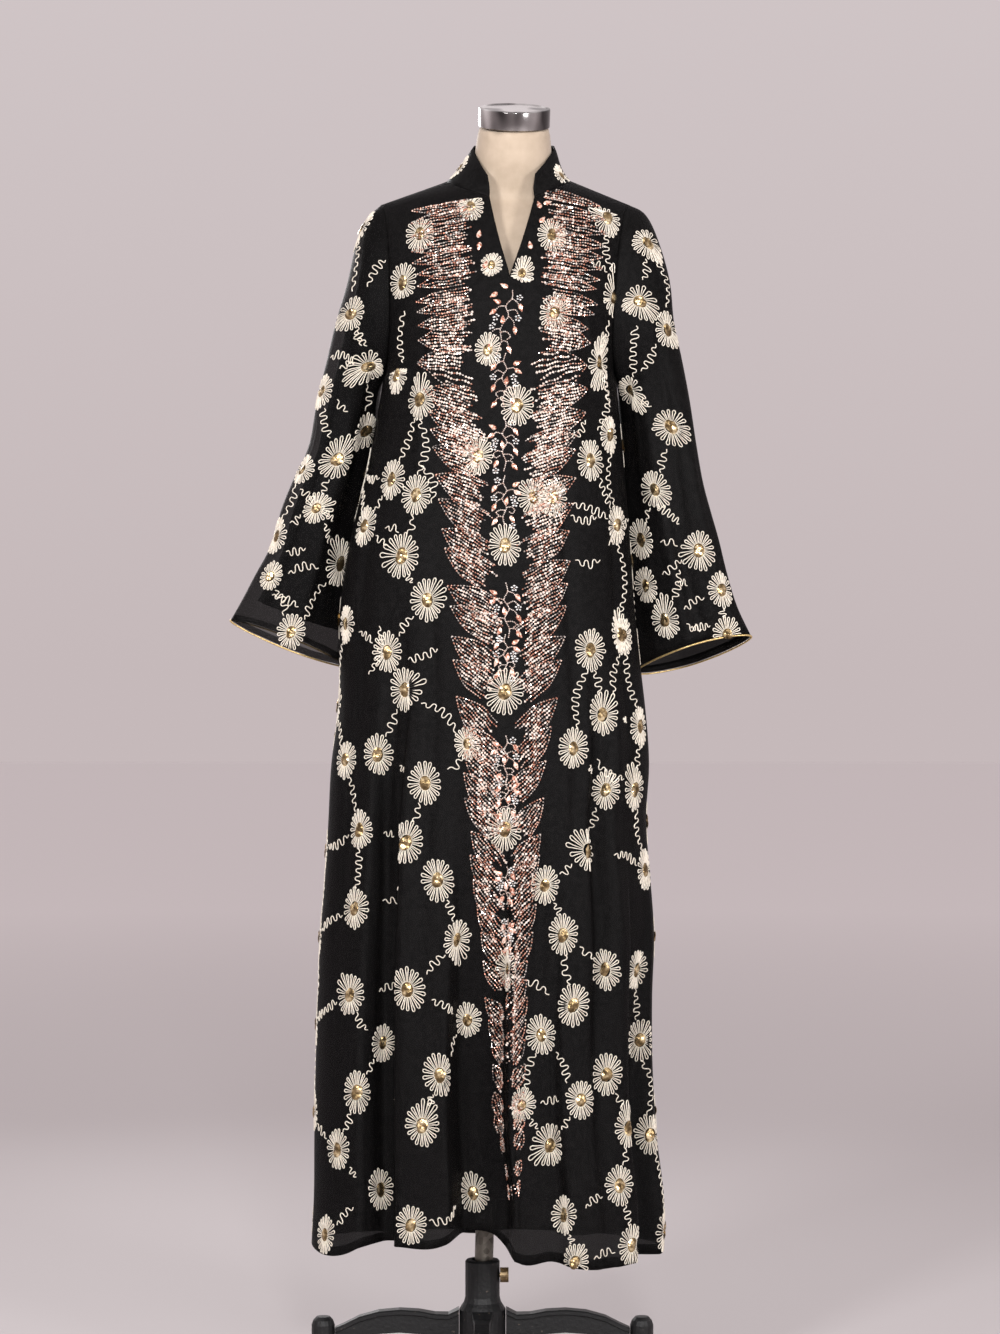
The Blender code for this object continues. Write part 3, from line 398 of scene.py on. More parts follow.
# A crease wanders in a slow wave, as a share of its width, fades in and out along its length, and is
# steeper on one side
CREASE_WANDER = 0.18
CREASE_WAVE = 7
CREASE_WAVE_START = 40
CREASE_START = 0.28
CREASE_END = 1.18
CREASE_FADE = 0.40
CREASE_STEEP = 2.2
# Where creases die away: beside the side seams, at the shoulder, and at the head of a sleeve
SEAM_CALM = 0.03
SHOULDER_CALM_FROM = 0.97
SHOULDER_CALM_OVER = 0.25
SLEEVE_CALM_STATIONS = 2.5

# Slopes: the form leans to the viewer's right, and its cap falls towards the front
LEAN = 0.0266
CAP_SLOPE = 0.30
# The cap: the solid's sides and seat, its lip and groove, and steps of inset and rise to its dome
CAP_RADIUS = 0.0482
CAP_HEIGHT = 0.0255
CAP_LEFT, CAP_RIGHT, CAP_MIDDLE = -0.0175, 0.0796, -0.016
CAP_SEAT = 1.696
CAP_RAISED = 0.0016
CAP_LIP = 0.0035
CAP_GROOVE = 0.0012
CAP_DOME = ((0.010, 0.0006), (0.012, 0.0004), (0.012, 0.0002))
CAP_EDGE = 0.0016
CAP_SIDES = 96
# The thumb screw, its knob's dished end and its knurls
STAND_X = -0.0115
SCREW_HEIGHT = 0.150
SCREW_RADIUS = 0.0032
SCREW_TIP = 0.0143
KNOB_RADIUS = 0.0100
KNOB_INNER = 0.0238
KNOB_OUTER = 0.0352
KNOB_SIDES = 72
KNOB_RIM = 0.0012
DISH_EDGE = 0.0006
DISH_DEPTH = 0.0007
SHANK_EDGE = 0.00002
KNURL_EDGE = 0.00005
KNURL_DEPTH = 0.0005

# The places of the sewn work are columns and rows of the photo, read off it.
# Daisies: place, half height in millimetres, and, where one is a fan, its direction in degrees
FLOWERS = (
    # Collar and neck
    (460, 165, 20), (561, 176, 19), (470, 203, 22), (420, 234, 26), (552, 235, 24), (607, 218, 26, 160),
    (403, 284, 28), (521, 275, 20), (492, 266, 18), (620, 301, 30, 100), (639, 301, 27), (555, 313, 26),
    (478, 456, 26), (533, 497, 26), (599, 364, 27), (420, 399, 27, 100), (397, 374, 26),
    # Left sleeve
    (351, 314, 27), (369, 367, 28), (366, 431, 28), (322, 391, 25), (338, 459, 29, 90), (277, 536, 26),
    (340, 564, 31, 130), (270, 576, 20), (291, 632, 24), (364, 526, 27), (346, 624, 26),
    (316, 508, 22, 30), (303, 470, 22),
    # Left of the body
    (392, 479, 27), (416, 495, 27), (402, 556, 30, 180), (427, 600, 28, 30), (387, 652, 27),
    (405, 690, 29, 20), (378, 755, 27), (425, 783, 28), (406, 842, 29, 200), (438, 880, 28),
    (355, 908, 27), (407, 990, 29), (350, 995, 27, 160), (440, 1075, 28), (357, 1092, 28),
    (422, 1125, 28, 60), (383, 1043, 25), (338, 1150, 27), (380, 1190, 28), (411, 1225, 26),
    (473, 1193, 27), (467, 1020, 24), (325, 1235, 26), (456, 940, 27, 300), (467, 744, 22),
    (360, 830, 26), (345, 760, 25),
    # Centre, over the vine
    (505, 545, 27), (505, 692, 31), (505, 830, 29), (508, 970, 28), (521, 1105, 23),
    # Right of the body
    (590, 460, 28), (553, 498, 25), (590, 650, 28), (602, 715, 27, 45), (622, 636, 26), (573, 748, 27),
    (587, 852, 28, 150), (563, 935, 27), (545, 885, 25), (573, 1005, 28), (605, 970, 27),
    (541, 1035, 26), (607, 1075, 28), (581, 1100, 26), (550, 1145, 28, 200), (620, 1185, 27),
    (565, 1215, 27), (575, 1262, 25), (632, 1245, 27), (628, 1128, 27, 80), (636, 970, 27),
    (640, 1040, 28), (650, 1135, 27), (645, 870, 27), (635, 790, 28, 120), (640, 727, 27),
    (606, 790, 26),
    # Right sleeve
    (647, 243, 27), (667, 330, 28), (632, 390, 26), (671, 427, 29), (655, 490, 27, 170), (610, 435, 25),
    (641, 540, 28), (617, 525, 26), (620, 635, 26, 90), (665, 620, 27, 60), (699, 550, 27, 190),
    (722, 590, 25), (727, 635, 25), (646, 585, 25),
    # Upper centre, beside the vine
    (488, 350, 23), (517, 405, 28),
)
# Squiggles read off the photo too: where each starts and ends, and its number of waves
SQUIGGLES = (
    (386, 260, 367, 287, 4), (358, 327, 367, 347, 3), (329, 361, 359, 370, 5), (298, 488, 336, 523, 7),
    (285, 551, 306, 548, 3), (270, 594, 298, 607, 4), (424, 466, 435, 503, 4), (386, 528, 399, 533, 2),
    (409, 659, 439, 649, 4), (379, 626, 369, 674, 6), (572, 437, 585, 420, 3), (596, 517, 570, 516, 4),
    (608, 545, 632, 520, 4), (655, 505, 681, 524, 5), (680, 570, 672, 600, 4), (690, 628, 712, 625, 4),
    (575, 560, 600, 560, 3), (590, 262, 607, 272, 3),
)
# The tips of the two bands' beaded leaves, from the shoulders down
LEAF_TIPS = {
    "left": (
        (412, 211), (412, 224), (412, 238), (412, 252), (413, 264), (418, 275), (418, 287),
        (417, 300), (418, 313), (419, 326), (419, 341), (419, 364), (424, 389), (429, 412),
        (431, 430), (433, 447), (436, 475), (439, 499), (442, 529), (445, 548), (447.5, 586),
        (450.5, 606), (452, 636), (453.6, 660), (456.6, 696), (464, 726), (464, 750), (464, 773),
        (465, 798), (471, 831), (470, 855), (473, 879), (477, 905), (481, 932), (483, 961),
        (486, 997), (489, 1019), (492, 1039), (493, 1064), (494.5, 1092), (496, 1112),
        (497.5, 1131), (500.5, 1160), (502, 1180),
    ),
    "right": (
        (600, 207), (604, 220), (606, 234), (605, 247), (602, 258), (601, 269), (599, 280),
        (595, 291), (596, 302), (594, 315), (588, 329), (590, 343), (586, 366), (586, 389),
        (584, 413), (578, 432), (575, 450), (575, 478), (573, 504), (569, 531), (570, 561),
        (567, 584), (565, 606), (564, 636), (561, 660), (557, 698), (551, 727), (546, 761),
        (544, 798), (541, 834), (539.5, 855), (536, 879), (535, 904), (532, 932), (527, 961),
        (526, 979), (527, 997), (525.5, 1019), (524.5, 1039), (525, 1064), (524, 1092), (524, 1112),
        (523, 1131), (521, 1160), (518, 1180),
    ),
}
# Leaf sizes by height: length, tilt in degrees, half width, and the crystals' share of its beads
# The crystals' share peaks at chest height, a painted highlight where the flash reflects
LEAVES = Table(
    "height length tilt half_width sparkle",
    *((photo_height(row), *sizes) for row, *sizes in (
        (1205, 0.018, 60, 0.0058, 0.10),
        (1130, 0.027, 58, 0.0086, 0.12),
        (1000, 0.043, 55, 0.0110, 0.14),
        (900, 0.051, 53, 0.0132, 0.24),
        (800, 0.061, 50, 0.0150, 0.28),
        (697, 0.068, 43, 0.0164, 0.32),
        (586, 0.071, 33, 0.0182, 0.34),
        (500, 0.070, 28, 0.0186, 0.36),
        (400, 0.071, 17, 0.0178, 0.52),
        (341, 0.073, 9, 0.0156, 0.50),
        (324, 0.074, 6, 0.0112, 0.34),
        (253, 0.081, 2, 0.0100, 0.14),
        (200, 0.084, 0, 0.0100, 0.08),
    )))
# The bands' outer edges: row, left and right column. No more daisies are filled in between them
BAND_EDGES = np.array([(photo_height(row), photo_x(left), photo_x(right)) for row, left, right in (
    (1210, 505, 515), (1100, 497, 521), (900, 477, 536), (700, 457, 557), (500, 439, 573),
    (400, 425, 585), (300, 417, 596), (200, 411, 606),
)]).T
BAND_MARGIN = 0.006
# The vine's sprigs: place, 1 where it is mirrored, and size
VINE_SPRIGS = (
    (512, 293, 0, 1.0), (506, 356, 1, 0.9), (504, 420, 0, 0.9), (505, 478, 1, 0.85),
    (506, 585, 0, 0.95), (506, 636, 1, 0.75), (506, 738, 0, 0.8), (507, 780, 1, 0.7),
    (507, 868, 0, 0.65), (509, 920, 1, 0.6),
)
# Glass drops beside the V: place, and direction in degrees
NECK_DROPS = (
    (479, 234, 70), (479, 246, 250), (530, 245, 110), (542, 220, 60), (539, 205, 120),
    (547, 203, 30), (486, 266, 60), (494, 295, 200), (504, 286, 140),
)
# One sprig of the vine in millimetres: beaded stems, glass drops with their turn, and star flowers
SPRIG_STEMS = (
    ((0, 4), (2, -8), (-2, -20), (3, -32), (-2, -46), (2, -60), (0, -74)),
    ((2, -8), (8, -11), (11, -16)), ((-2, -20), (-9, -18), (-13, -22)), ((3, -32), (9, -36), (12, -43)),
    ((-2, -46), (-8, -45), (-12, -50), (-9, -55), (-5, -52)), ((2, -60), (8, -60), (11, -66)),
    ((1, -26), (8, -22), (12, -26)), ((-1, -50), (6, -50), (10, -54), (7, -58)),
)
SPRIG_DROPS = ((13, -17, -60), (-15, -23, -150), (13, -46, -65), (-13, -10, 150), (12, -68, -50),
               (-9, -64, -120), (-2, -36, 100))
SPRIG_FLOWERS = ((-10, -31), (13, -31), (-12, -40), (9, -4), (-9, -74))

# Cords: how high they lie, the step at which a tube is left open, and how high the ridge and how
# low the foot are as shares of the radius
CORD_RADIUS = 0.00076
CORD_LIFT = 0.0006
CORD_LONGEST = 0.035
CORD_TOP = 0.95
CORD_FOOT = 0.45

# A daisy: loops round its core, the core's share of it, its width for a height of 1, how much longer
# a fan's loops are and over what angle, and how far one may be turned
DAISY_LOOPS = 18
DAISY_CORE = 0.36
DAISY_WIDTH = 0.78
DAISY_FAN = 0.42
DAISY_FAN_ANGLE = 0.55
DAISY_TURN = 0.2
# One loop's line: share of the way out from the core, and place across it as a share of its angle.
# Its foot is wider, and the loops differ in turn and reach
LOOP_LINE = ((0.0, -0.19), (0.60, -0.20), (0.86, -0.245), (0.98, -0.16), (1.02, 0.0),
             (0.98, 0.16), (0.86, 0.245), (0.60, 0.20), (0.0, 0.19))
LOOP_FOOT = 1.1
LOOP_TURN = 0.02
LOOP_REACH = (-0.07, 0.05)
# A daisy that the cloth's folds stretch to more than this times its size isn't sewn
DAISY_STRETCH = 1.65

# Sequins on a daisy's core: place up and across it, and size, as shares of the core. Then their
# width for a length of 1, height, how far they tilt, and their rings: share of size, share of height
CORE_SEQUINS = ((0.34, 0.10, 0.72), (-0.32, -0.14, 0.76), (0.04, -0.30, 0.60), (0.0, 0.30, 0.64))
SEQUIN_WIDTH = 1.15
SEQUIN_HEIGHT = 0.0018
SEQUIN_HEIGHT_BY_SIZE = 0.0008
SEQUIN_TILT = 0.30
SEQUIN_LIFT = 0.0004
SEQUIN_SIDES = 10
SEQUIN_RINGS = ((0.62, 0.72), (1.0, 0.10))

# Daisies filled in where the cloth is bare: their spacing, the rows and columns that are tried, half
# heights, the share of fans, and how far they turn
FLOWER_SPACING = 0.086
SLEEVE_SPACING = 0.106
FILL_STEP = 3
FILL_SHIFT = 4
FILL_SIZES = (0.0225, 0.0300)
FILL_FANS = 0.55
FILL_TURN = 0.3
FIRST_SEWING_SEED = 21

# Squiggles: height and length of a wave, points a wave, and how the ends, heights and line differ
SQUIGGLE_HEIGHT = 0.0050
SQUIGGLE_WAVE = 0.0115
SQUIGGLE_SHORTEST = 0.012
SQUIGGLE_POINTS = 12
SQUIGGLE_TAPER = 1.3
SQUIGGLE_UNEVEN = 0.20
SQUIGGLE_UNEVEN_TURNS = 9
SQUIGGLE_LEAN = 0.07
SQUIGGLE_BOW = 0.20
# Squiggles between daisies: the gaps that they bridge, how many near daisies are tried, the most that
# two daisies have between them, where they start as a share of the daisy's half height, and how far
# apart on the cloth two daisies may be, as a share of its columns
LINK_SHORTEST = 0.010
LINK_LONGEST = 0.095
LINK_NEAREST = 5
LINK_TIES = 4
LINK_ROOM = 0.97
LINK_ACROSS = 0.3

# Beads: half sizes, how their lengths differ, and the step over which a thread's direction is taken
BEAD_HALF_LENGTH = 0.00175
BEAD_HALF_WIDTH = 0.00125
CRYSTAL_HALF = 0.0021
BEAD_LENGTHS = (0.8, 1.15)
BEAD_LIFT = 0.0017
THREAD_STEP = 0.0008

# Leaves of the bands: where one is full, how its outline rounds, and its lines of beads
LEAF_FULL_AT = 0.56
LEAF_ROUNDING = 1.5
LEAF_TURN = 4
LEAF_LENGTHS = (0.94, 1.06)
OUTLINE_START = 0.001
OUTLINE_END = 0.93
OUTLINE_PITCH = 0.0036
OUTLINE_SILVER = 0.45
LEAF_LINE_PITCH = 0.0040
LEAF_LINES_WITHIN = 0.9
LEAF_LINE_ROOM = 0.0022
LEAF_LINE_START = 0.002
LEAF_LINE_ENDS = (0.84, 1.08)
LEAF_LINE_WAVE = 0.0006
LEAF_LINE_WAVES = 260
LEAF_BEAD_PITCH = 0.0036
# The kinds of bead in a leaf; the near-white crystals are partly painted glints
ROSE, SILVER, CRYSTAL = 0, 1, 2
# Rose beads' share of the even and the odd lines, and where on the leaf crystals begin
ROSE_SHARES = (0.45, 0.85)
CRYSTALS_FROM = 0.2
# Leaves overlap in so many layers, one BAND_LAYER apart
BAND_LAYERS = 3
BAND_LAYER = 0.0006
BAND_SEED = 31

# The vine: strings of beads with pitch and half width, drops, and star flowers
VINE_SEED = 32
VINE_WIDEN = 1.3
STRING_PITCH = 0.0024
STRING_BEAD = 0.00110
STRING_LIFT = 0.0008
STAR_PETALS = 5
STAR_TURN = 0.3
STAR_REACH = (0.0014, 0.0050)
PETAL_BEADS = (0.0036, 0.0015)
HEART_REACH = 0.001
HEART_BEADS = (0.002, 0.0013)
VINE_DROP_SIZE = 1.22
NECK_DROP_SIZE = 1.3
DROP_LIFT = 0.0003
# A glass drop: places and radii along it, its ends, and how flat it is
DROP_RINGS = ((-0.0040, 0.0010), (-0.0030, 0.0021), (-0.0008, 0.0027), (0.0018, 0.0019),
              (0.0040, 0.0007))
DROP_ENDS = (-0.0045, 0.0050)
DROP_MIDDLE = 0.0006
DROP_FLAT = 0.55
DROP_SIDES = 8

# Gold piping of the cuffs: a cord of two strands
PIPING_RADIUS = 0.0013
PIPING_TWIST = 0.0045
PIPING_STRAND = 0.16
PIPING_SLIM = 0.92
PIPING_POINTS = 420
PIPING_SIDES = 8

# Finding the cloth that the camera sees: how far off a place may lie, the depth of the layer in
# front, the most that the cloth may face away, and how far to go from the nearest point of the grid,
# unless the face is seen edge-on
FIND_REACH = 0.008
BEAD_FIND_REACH = 0.012
FRONT_LAYER = 0.012
FACING_LIMIT = 0.25
FIND_MOVE = 0.9
LEAST_SLANT = 1e-9
FAR_AWAY = 9.0
# Laying motifs: the step of the measured cloth, the half gap that counts as the neck opening, and
# the least climb of a row
LATTICE_STEP = 0.003
NECK_OPENING_LEAST = 0.0004
LEAST_RISE = 1e-4


def ease(share):
    """A smooth step from 0 to 1, for a number or an array."""
    share = min(max(share, 0.0), 1.0) if np.isscalar(share) else np.clip(share, 0, 1)
    return share * share * (3 - 2 * share)


def signed_power(value, power):
    return abs(value) ** power * (1 if value >= 0 else -1)


def units(vectors):
    return vectors / np.maximum(np.linalg.norm(vectors, axis=-1, keepdims=True), 1e-12)


# Body surface

def hem_x(angle):
    """X of a ring's point where it would meet the hem, which places the folds."""
    return HEM_MIDDLE + HEM_HALF * signed_power(cos(angle), 2 / RING_ROUNDNESS)


def fold_push(angle, height):
    """How far the folds push the skirt in at this ring angle and height."""
    x = hem_x(angle)
    side = 1 if sin(angle) >= 0 else -1
    push = 0.0
    for fold in FOLDS:
        if fold.side != side:
            continue
        across = (ease((x - fold.start) / fold.start_edge + 0.5)
                  * ease((fold.end - x) / fold.end_edge + 0.5))
        down = ease((fold.top - height) / (fold.top - fold.full))
        left = fold.at_hem + (1 - fold.at_hem) * ease((height - HEM) / (fold.full - HEM))
        push += fold.push * across * down * left
    return push


def lower_point(angle, height):
    """A point of the body between the hem and the underarms."""
    left, right = BODY.at("left", height), BODY.at("right", height)
    front, back = BODY.at("front", height), BODY.at("back", height)
    middle, half = (left + right) / 2, (right - left) / 2
    depth = front if sin(angle) >= 0 else back
    across = signed_power(cos(angle), 2 / RING_ROUNDNESS)
    forward = signed_power(sin(angle), 2 / RING_ROUNDNESS)
    slope = np.array([signed_power(across, RING_ROUNDNESS - 1) / half,
                      -signed_power(forward, RING_ROUNDNESS - 1) / depth])
    out = units(slope) * -fold_push(angle, height)
    near_hem = max(0.0, 1 - (height - HEM) / HEM_REACH) ** 2
    lift = (HEM_LINE.at("height", angle * 180 / pi) - HEM) * near_hem
    return np.array([middle + half * across + out[0], -depth * forward + out[1], height + lift])


def neck_point(degrees):
    """A point of the neck seam."""
    turn = radians(degrees)
    depth = NECK_FRONT if cos(turn) > 0 else NECK_BACK
    return np.array([NECK_X - NECK_HALF_WIDTH * sin(turn), -depth * cos(turn),
                     COLLAR.at("seam_height", degrees)])


def inner_end(side, back, share):
    """Where a row of the upper body ends: the centre line, the V edge, then the neck seam."""
    if share > NECK_SHARE:
        along = (share - NECK_SHARE) / (1 - NECK_SHARE)
        start = 180 if back else (NECK_START if side == "left" else NECK_END)
        end = 90 if side == "left" else 270
        return neck_point(start + (end - start) * along)
    if back:
        return np.array([BACK_LINE.at("x", share), BACK_LINE.at("back", share),
                         BACK_LINE.at("height", share)])
    sides = (side,) if share > V_SHARE else ("left", "right")
    x = sum(V_EDGE.at(name, share) for name in sides) / len(sides)
    return np.array([x, -V_EDGE.at("forward", share), V_EDGE.at("height", share)])


def sleeve_point(side, angle, station):
    """A point of a sleeve: angle 0 at its outer edge, 90 degrees in front, 180 beside the body."""
    table = SLEEVES[side]
    away = -1 if side == "left" else 1
    inner_height = table.at("inner_height", station)
    tuck, behind = SLEEVE_HANG.at("tuck", station), SLEEVE_HANG.at("back", station)
    inner = np.array([BODY.at(side, inner_height) - away * tuck, behind, inner_height])
    outer = np.array([table.at("outer_x", station), 0.0, table.at("outer_height", station)])
    forward, back = table.at("forward", station), table.at("back", station)
    share = station / CUFF_STATION
    roundness = ARMHOLE_ROUNDNESS + (CUFF_ROUNDNESS - ARMHOLE_ROUNDNESS) * ease(share)
    wave = CUFF_WAVE_DEPTH * share ** 3 * cos(CUFF_WAVES * angle) * abs(sin(angle))
    depth = (forward if sin(angle) >= 0 else back) + wave
    across = signed_power(cos(angle), 2 / roundness)
    ahead = signed_power(sin(angle), 2 / roundness)
    point = (outer + inner) / 2 + (outer - inner) / 2 * across
    point[1] -= depth * ahead
    bow = ARMHOLE_BOW * (1 - ease(share / ARMHOLE_BOW_SHARE)) * abs(ahead)
    point[0] -= away * bow
    point[2] += CUFF_LIFT[side] * ahead * share ** 4
    return point


def upper_point(side, back, angle, share):
    """A point of the body above the underarms, on a row from the armhole to its inner end.

    Each row is the stretch of a ring that starts at the armhole, so the chest stays round.
    """
    turn = pi * (1 + share) if back else pi * (1 - share)
    armhole = sleeve_point(side, turn, 0)
    inner = inner_end(side, back, share)
    if share == 1:
        depth_share = SHOULDER_DEPTH_SHARE
    else:
        depth_share = abs(armhole[1]) / abs(inner[1])
    power = 2 / RING_ROUNDNESS
    start = np.arcsin(min(depth_share, ROW_END_DEPTH) ** (1 / power))
    angle = abs(angle - (3 * pi / 2 if back else pi / 2))
    turned = pi / 2 - angle * (1 - start / (pi / 2))
    across = abs(cos(turned) / cos(start)) ** power
    forward = abs(sin(turned)) ** power
    point = inner + (armhole - inner) * across
    point[1] = inner[1] * forward
    return point


def collar_point(degrees, share):
    """A point of the stand collar, from its seam up to its top edge."""
    seam = neck_point(degrees)
    top = np.array([COLLAR.at(name, degrees) for name in ("top_x", "top_y", "top_height")])
    flare = COLLAR_FLARE * sin(pi * share) * (1 - share)
    point = seam + (top - seam) * share
    return point - np.array([-sin(radians(degrees)), -cos(radians(degrees)), 0]) * flare


# Camera, floor and light

def add_camera():
    data = bpy.data.cameras.new("photo_camera")
    data.lens = LENS
    data.sensor_width = SENSOR_WIDTH
    camera = bpy.data.objects.new("photo_camera", data)
    camera.location = CAMERA
    camera.rotation_euler = (pi / 2, 0, 0)
    bpy.context.scene.collection.objects.link(camera)
    bpy.context.scene.camera = camera


def add_softbox(name, place, aim, size, power):
    data = bpy.data.lights.new(name, "AREA")
    data.shape = "RECTANGLE"
    data.size, data.size_y = size
    data.energy = power
    data.spread = radians(SOFTBOX_SPREAD)
    light = bpy.data.objects.new(name, data)
    light.location = place
    light.rotation_euler = (Vector(aim) - Vector(place)).to_track_quat("-Z", "Y").to_euler()
    bpy.context.scene.collection.objects.link(light)


def add_studio():
    """A world that pales towards the zenith, a floor and the softboxes."""
    world = bpy.data.worlds.new("pale_studio")
    bpy.context.scene.world = world
    world.use_nodes = True
    nodes, links = world.node_tree.nodes, world.node_tree.links
    background = nodes["Background"]
    background.inputs["Strength"].default_value = WORLD_STRENGTH
    height = nodes.new("ShaderNodeSeparateXYZ")
    links.new(nodes.new("ShaderNodeTexCoord").outputs["Generated"], height.inputs[0])
    ramp = nodes.new("ShaderNodeValToRGB")
    links.new(height.outputs["Z"], ramp.inputs["Fac"])
    links.new(ramp.outputs["Color"], background.inputs["Color"])
    for element, colour in zip(ramp.color_ramp.elements, (HORIZON_COLOUR, ZENITH_COLOUR)):
        element.color = (*colour, 1)
    ramp.color_ramp.elements[1].position = ZENITH_PLACE
    bpy.ops.mesh.primitive_plane_add(size=FLOOR_SIZE, location=(0, 0, 0))
    floor = bpy.context.object
    floor.name = "studio_floor"
    floor.data.materials.append(studio_floor_painted_shade())
    for name, softbox in SOFTBOXES.items():
        add_softbox(name, *softbox)
    bpy.context.scene.view_settings.view_transform = "Standard"


# Finishes

SOCKET_NAMES = {"alpha": "Alpha", "sheen_weight": "Sheen Weight", "coat_weight": "Coat Weight",
                "specular_ior_level": "Specular IOR Level"}


class Finish:
    """A material whose plain values stand on its shader, and whose patterns use its Object place."""

    def __init__(self, name, roughness, metallic=0.0, **sockets):
        self.material = bpy.data.materials.new(name)
        self.material.use_nodes = True
        self.nodes = self.material.node_tree.nodes
        self.links = self.material.node_tree.links
        self.shader = self.nodes["Principled BSDF"]
        self.shader.inputs["Roughness"].default_value = roughness
        self.shader.inputs["Metallic"].default_value = metallic
        for socket, value in sockets.items():
            self.shader.inputs[SOCKET_NAMES[socket]].default_value = value
        self.place = self.nodes.new("ShaderNodeTexCoord").outputs["Object"]

    def grain(self, scale, detail=2.0, stretch=None):
        """A noise pattern of the given scale; stretch squeezes it along X, Y and Z."""
        place = self.place
        if stretch:
            mapping = self.nodes.new("ShaderNodeMapping")
            mapping.inputs["Scale"].default_value = stretch
            self.links.new(place, mapping.inputs["Vector"])
            place = mapping.outputs["Vector"]
        noise = self.nodes.new("ShaderNodeTexNoise")
        noise.inputs["Scale"].default_value = scale
        noise.inputs["Detail"].default_value = detail
        self.links.new(place, noise.inputs["Vector"])
        return noise.outputs["Fac"]

    def spangle(self, scale):
        """The flat crystals of zinc, each with a shade of its own."""
        cells = self.nodes.new("ShaderNodeTexVoronoi")
        cells.inputs["Scale"].default_value = scale
        self.links.new(self.place, cells.inputs["Vector"])
        return cells.outputs["Color"]

    def distance_out(self, reach):
        """The distance from the object's own origin, as a share of the reach."""
        length = self.nodes.new("ShaderNodeVectorMath")
        length.operation = "LENGTH"
        self.links.new(self.place, length.inputs[0])
        share = self.nodes.new("ShaderNodeMath")
        share.operation = "DIVIDE"
        share.inputs[1].default_value = reach
        self.links.new(length.outputs["Value"], share.inputs[0])
        return share.outputs["Value"]

    def tint(self, pattern, *stops, socket="Base Color"):
        """Colours a socket by a pattern: stops are (place, colour), or (place, (value,))."""
        ramp = self.nodes.new("ShaderNodeValToRGB")
        elements = ramp.color_ramp.elements
        while len(elements) < len(stops):
            elements.new(0.5)
        for element, (place, colour) in zip(elements, stops):
            element.position = place
            element.color = (*colour, 1) if len(colour) == 3 else (colour[0],) * 3 + (1,)
        self.links.new(pattern, ramp.inputs["Fac"])
        self.links.new(ramp.outputs["Color"], self.shader.inputs[socket])

    def roughen(self, pattern, strength, depth):
        """Adds a bump on top of those already there."""
        bump = self.nodes.new("ShaderNodeBump")
        bump.inputs["Strength"].default_value = strength
        bump.inputs["Distance"].default_value = depth
        self.links.new(pattern, bump.inputs["Height"])
        target = self.shader.inputs["Normal"]
        if target.is_linked:
            self.links.new(target.links[0].from_socket, bump.inputs["Normal"])
        self.links.new(bump.outputs["Normal"], target)


def black_georgette(name, cover):
    """Sheer crepe; cover is how much of what lies behind it is hidden."""
    cloth = Finish(name, roughness=0.6, alpha=cover, specular_ior_level=0.06)
    cloth.tint(cloth.grain(160), (0.35, (0.0034, 0.0031, 0.0031)), (0.65, (0.0064, 0.0059, 0.0059)))
    cloth.roughen(cloth.grain(60, detail=3.0, stretch=(6, 6, 0.5)), strength=0.25, depth=0.0006)
    cloth.roughen(cloth.grain(2.6, stretch=(5, 5, 1)), strength=0.5, depth=0.006)
    return cloth.material


def black_lining():
    cloth = Finish("black_lining", roughness=0.5, specular_ior_level=0.08)
    cloth.tint(cloth.grain(240), (0.3, (0.0025, 0.0025, 0.0028)), (0.7, (0.0050, 0.0050, 0.0053)))
    cloth.roughen(cloth.grain(50, stretch=(5, 5, 1)), strength=0.2, depth=0.0006)
    return cloth.material


def cream_cord():
    cord = Finish("cream_cord", roughness=0.62, sheen_weight=0.2)
    cord.tint(cord.grain(420, detail=3.0), (0.25, (0.62, 0.53, 0.42)), (0.50, (0.85, 0.77, 0.65)),
              (0.75, (0.96, 0.91, 0.81)))
    cord.roughen(cord.grain(1100), strength=0.6, depth=0.0006)
    return cord.material


def gold_sequin():
    gold = Finish("gold_sequin", roughness=0.26, metallic=0.9)
    # Random tones from dark to pale: partly the sequins' own antique gold, partly painted glints and
    # painted shade
    gold.tint(gold.grain(140), (0.36, (0.12, 0.08, 0.035)), (0.52, (0.34, 0.24, 0.12)),
              (0.68, (0.92, 0.76, 0.47)))
    gold.roughen(gold.grain(700), strength=0.3, depth=0.0004)
    return gold.material


def gold_piping_thread():
    gold = Finish("gold_piping_thread", roughness=0.34, metallic=0.75)
    gold.tint(gold.grain(500), (0.3, (0.45, 0.30, 0.11)), (0.6, (0.78, 0.58, 0.26)))
    gold.roughen(gold.grain(1500), strength=0.4, depth=0.0003)
    return gold.material


def rose_bead():
    bead = Finish("rose_gold_bead", roughness=0.24, metallic=0.6, coat_weight=0.3)
    # Random tones from dark to near white: partly the beads' own mix, partly painted glints and painted
    # shade
    bead.tint(bead.grain(300), (0.38, (0.30, 0.11, 0.07)), (0.48, (0.84, 0.38, 0.26)),
              (0.58, (1.0, 0.80, 0.68)))
    return bead.material


def pale_rose_bead():
    bead = Finish("pale_rose_bead", roughness=0.22, metallic=0.4, coat_weight=0.5)
    bead.tint(bead.grain(300), (0.4, (0.72, 0.52, 0.44)), (0.55, (1.0, 0.88, 0.80)))
    return bead.material


def silver_bead():
    bead = Finish("silver_bead", roughness=0.18, metallic=0.75, coat_weight=0.4)
    # Random tones from dark to near white: partly the beads' own mix, partly painted glints and painted
    # shade
    bead.tint(bead.grain(300), (0.38, (0.15, 0.14, 0.14)), (0.48, (0.70, 0.61, 0.56)),
              (0.57, (1.0, 0.93, 0.85)))
    return bead.material


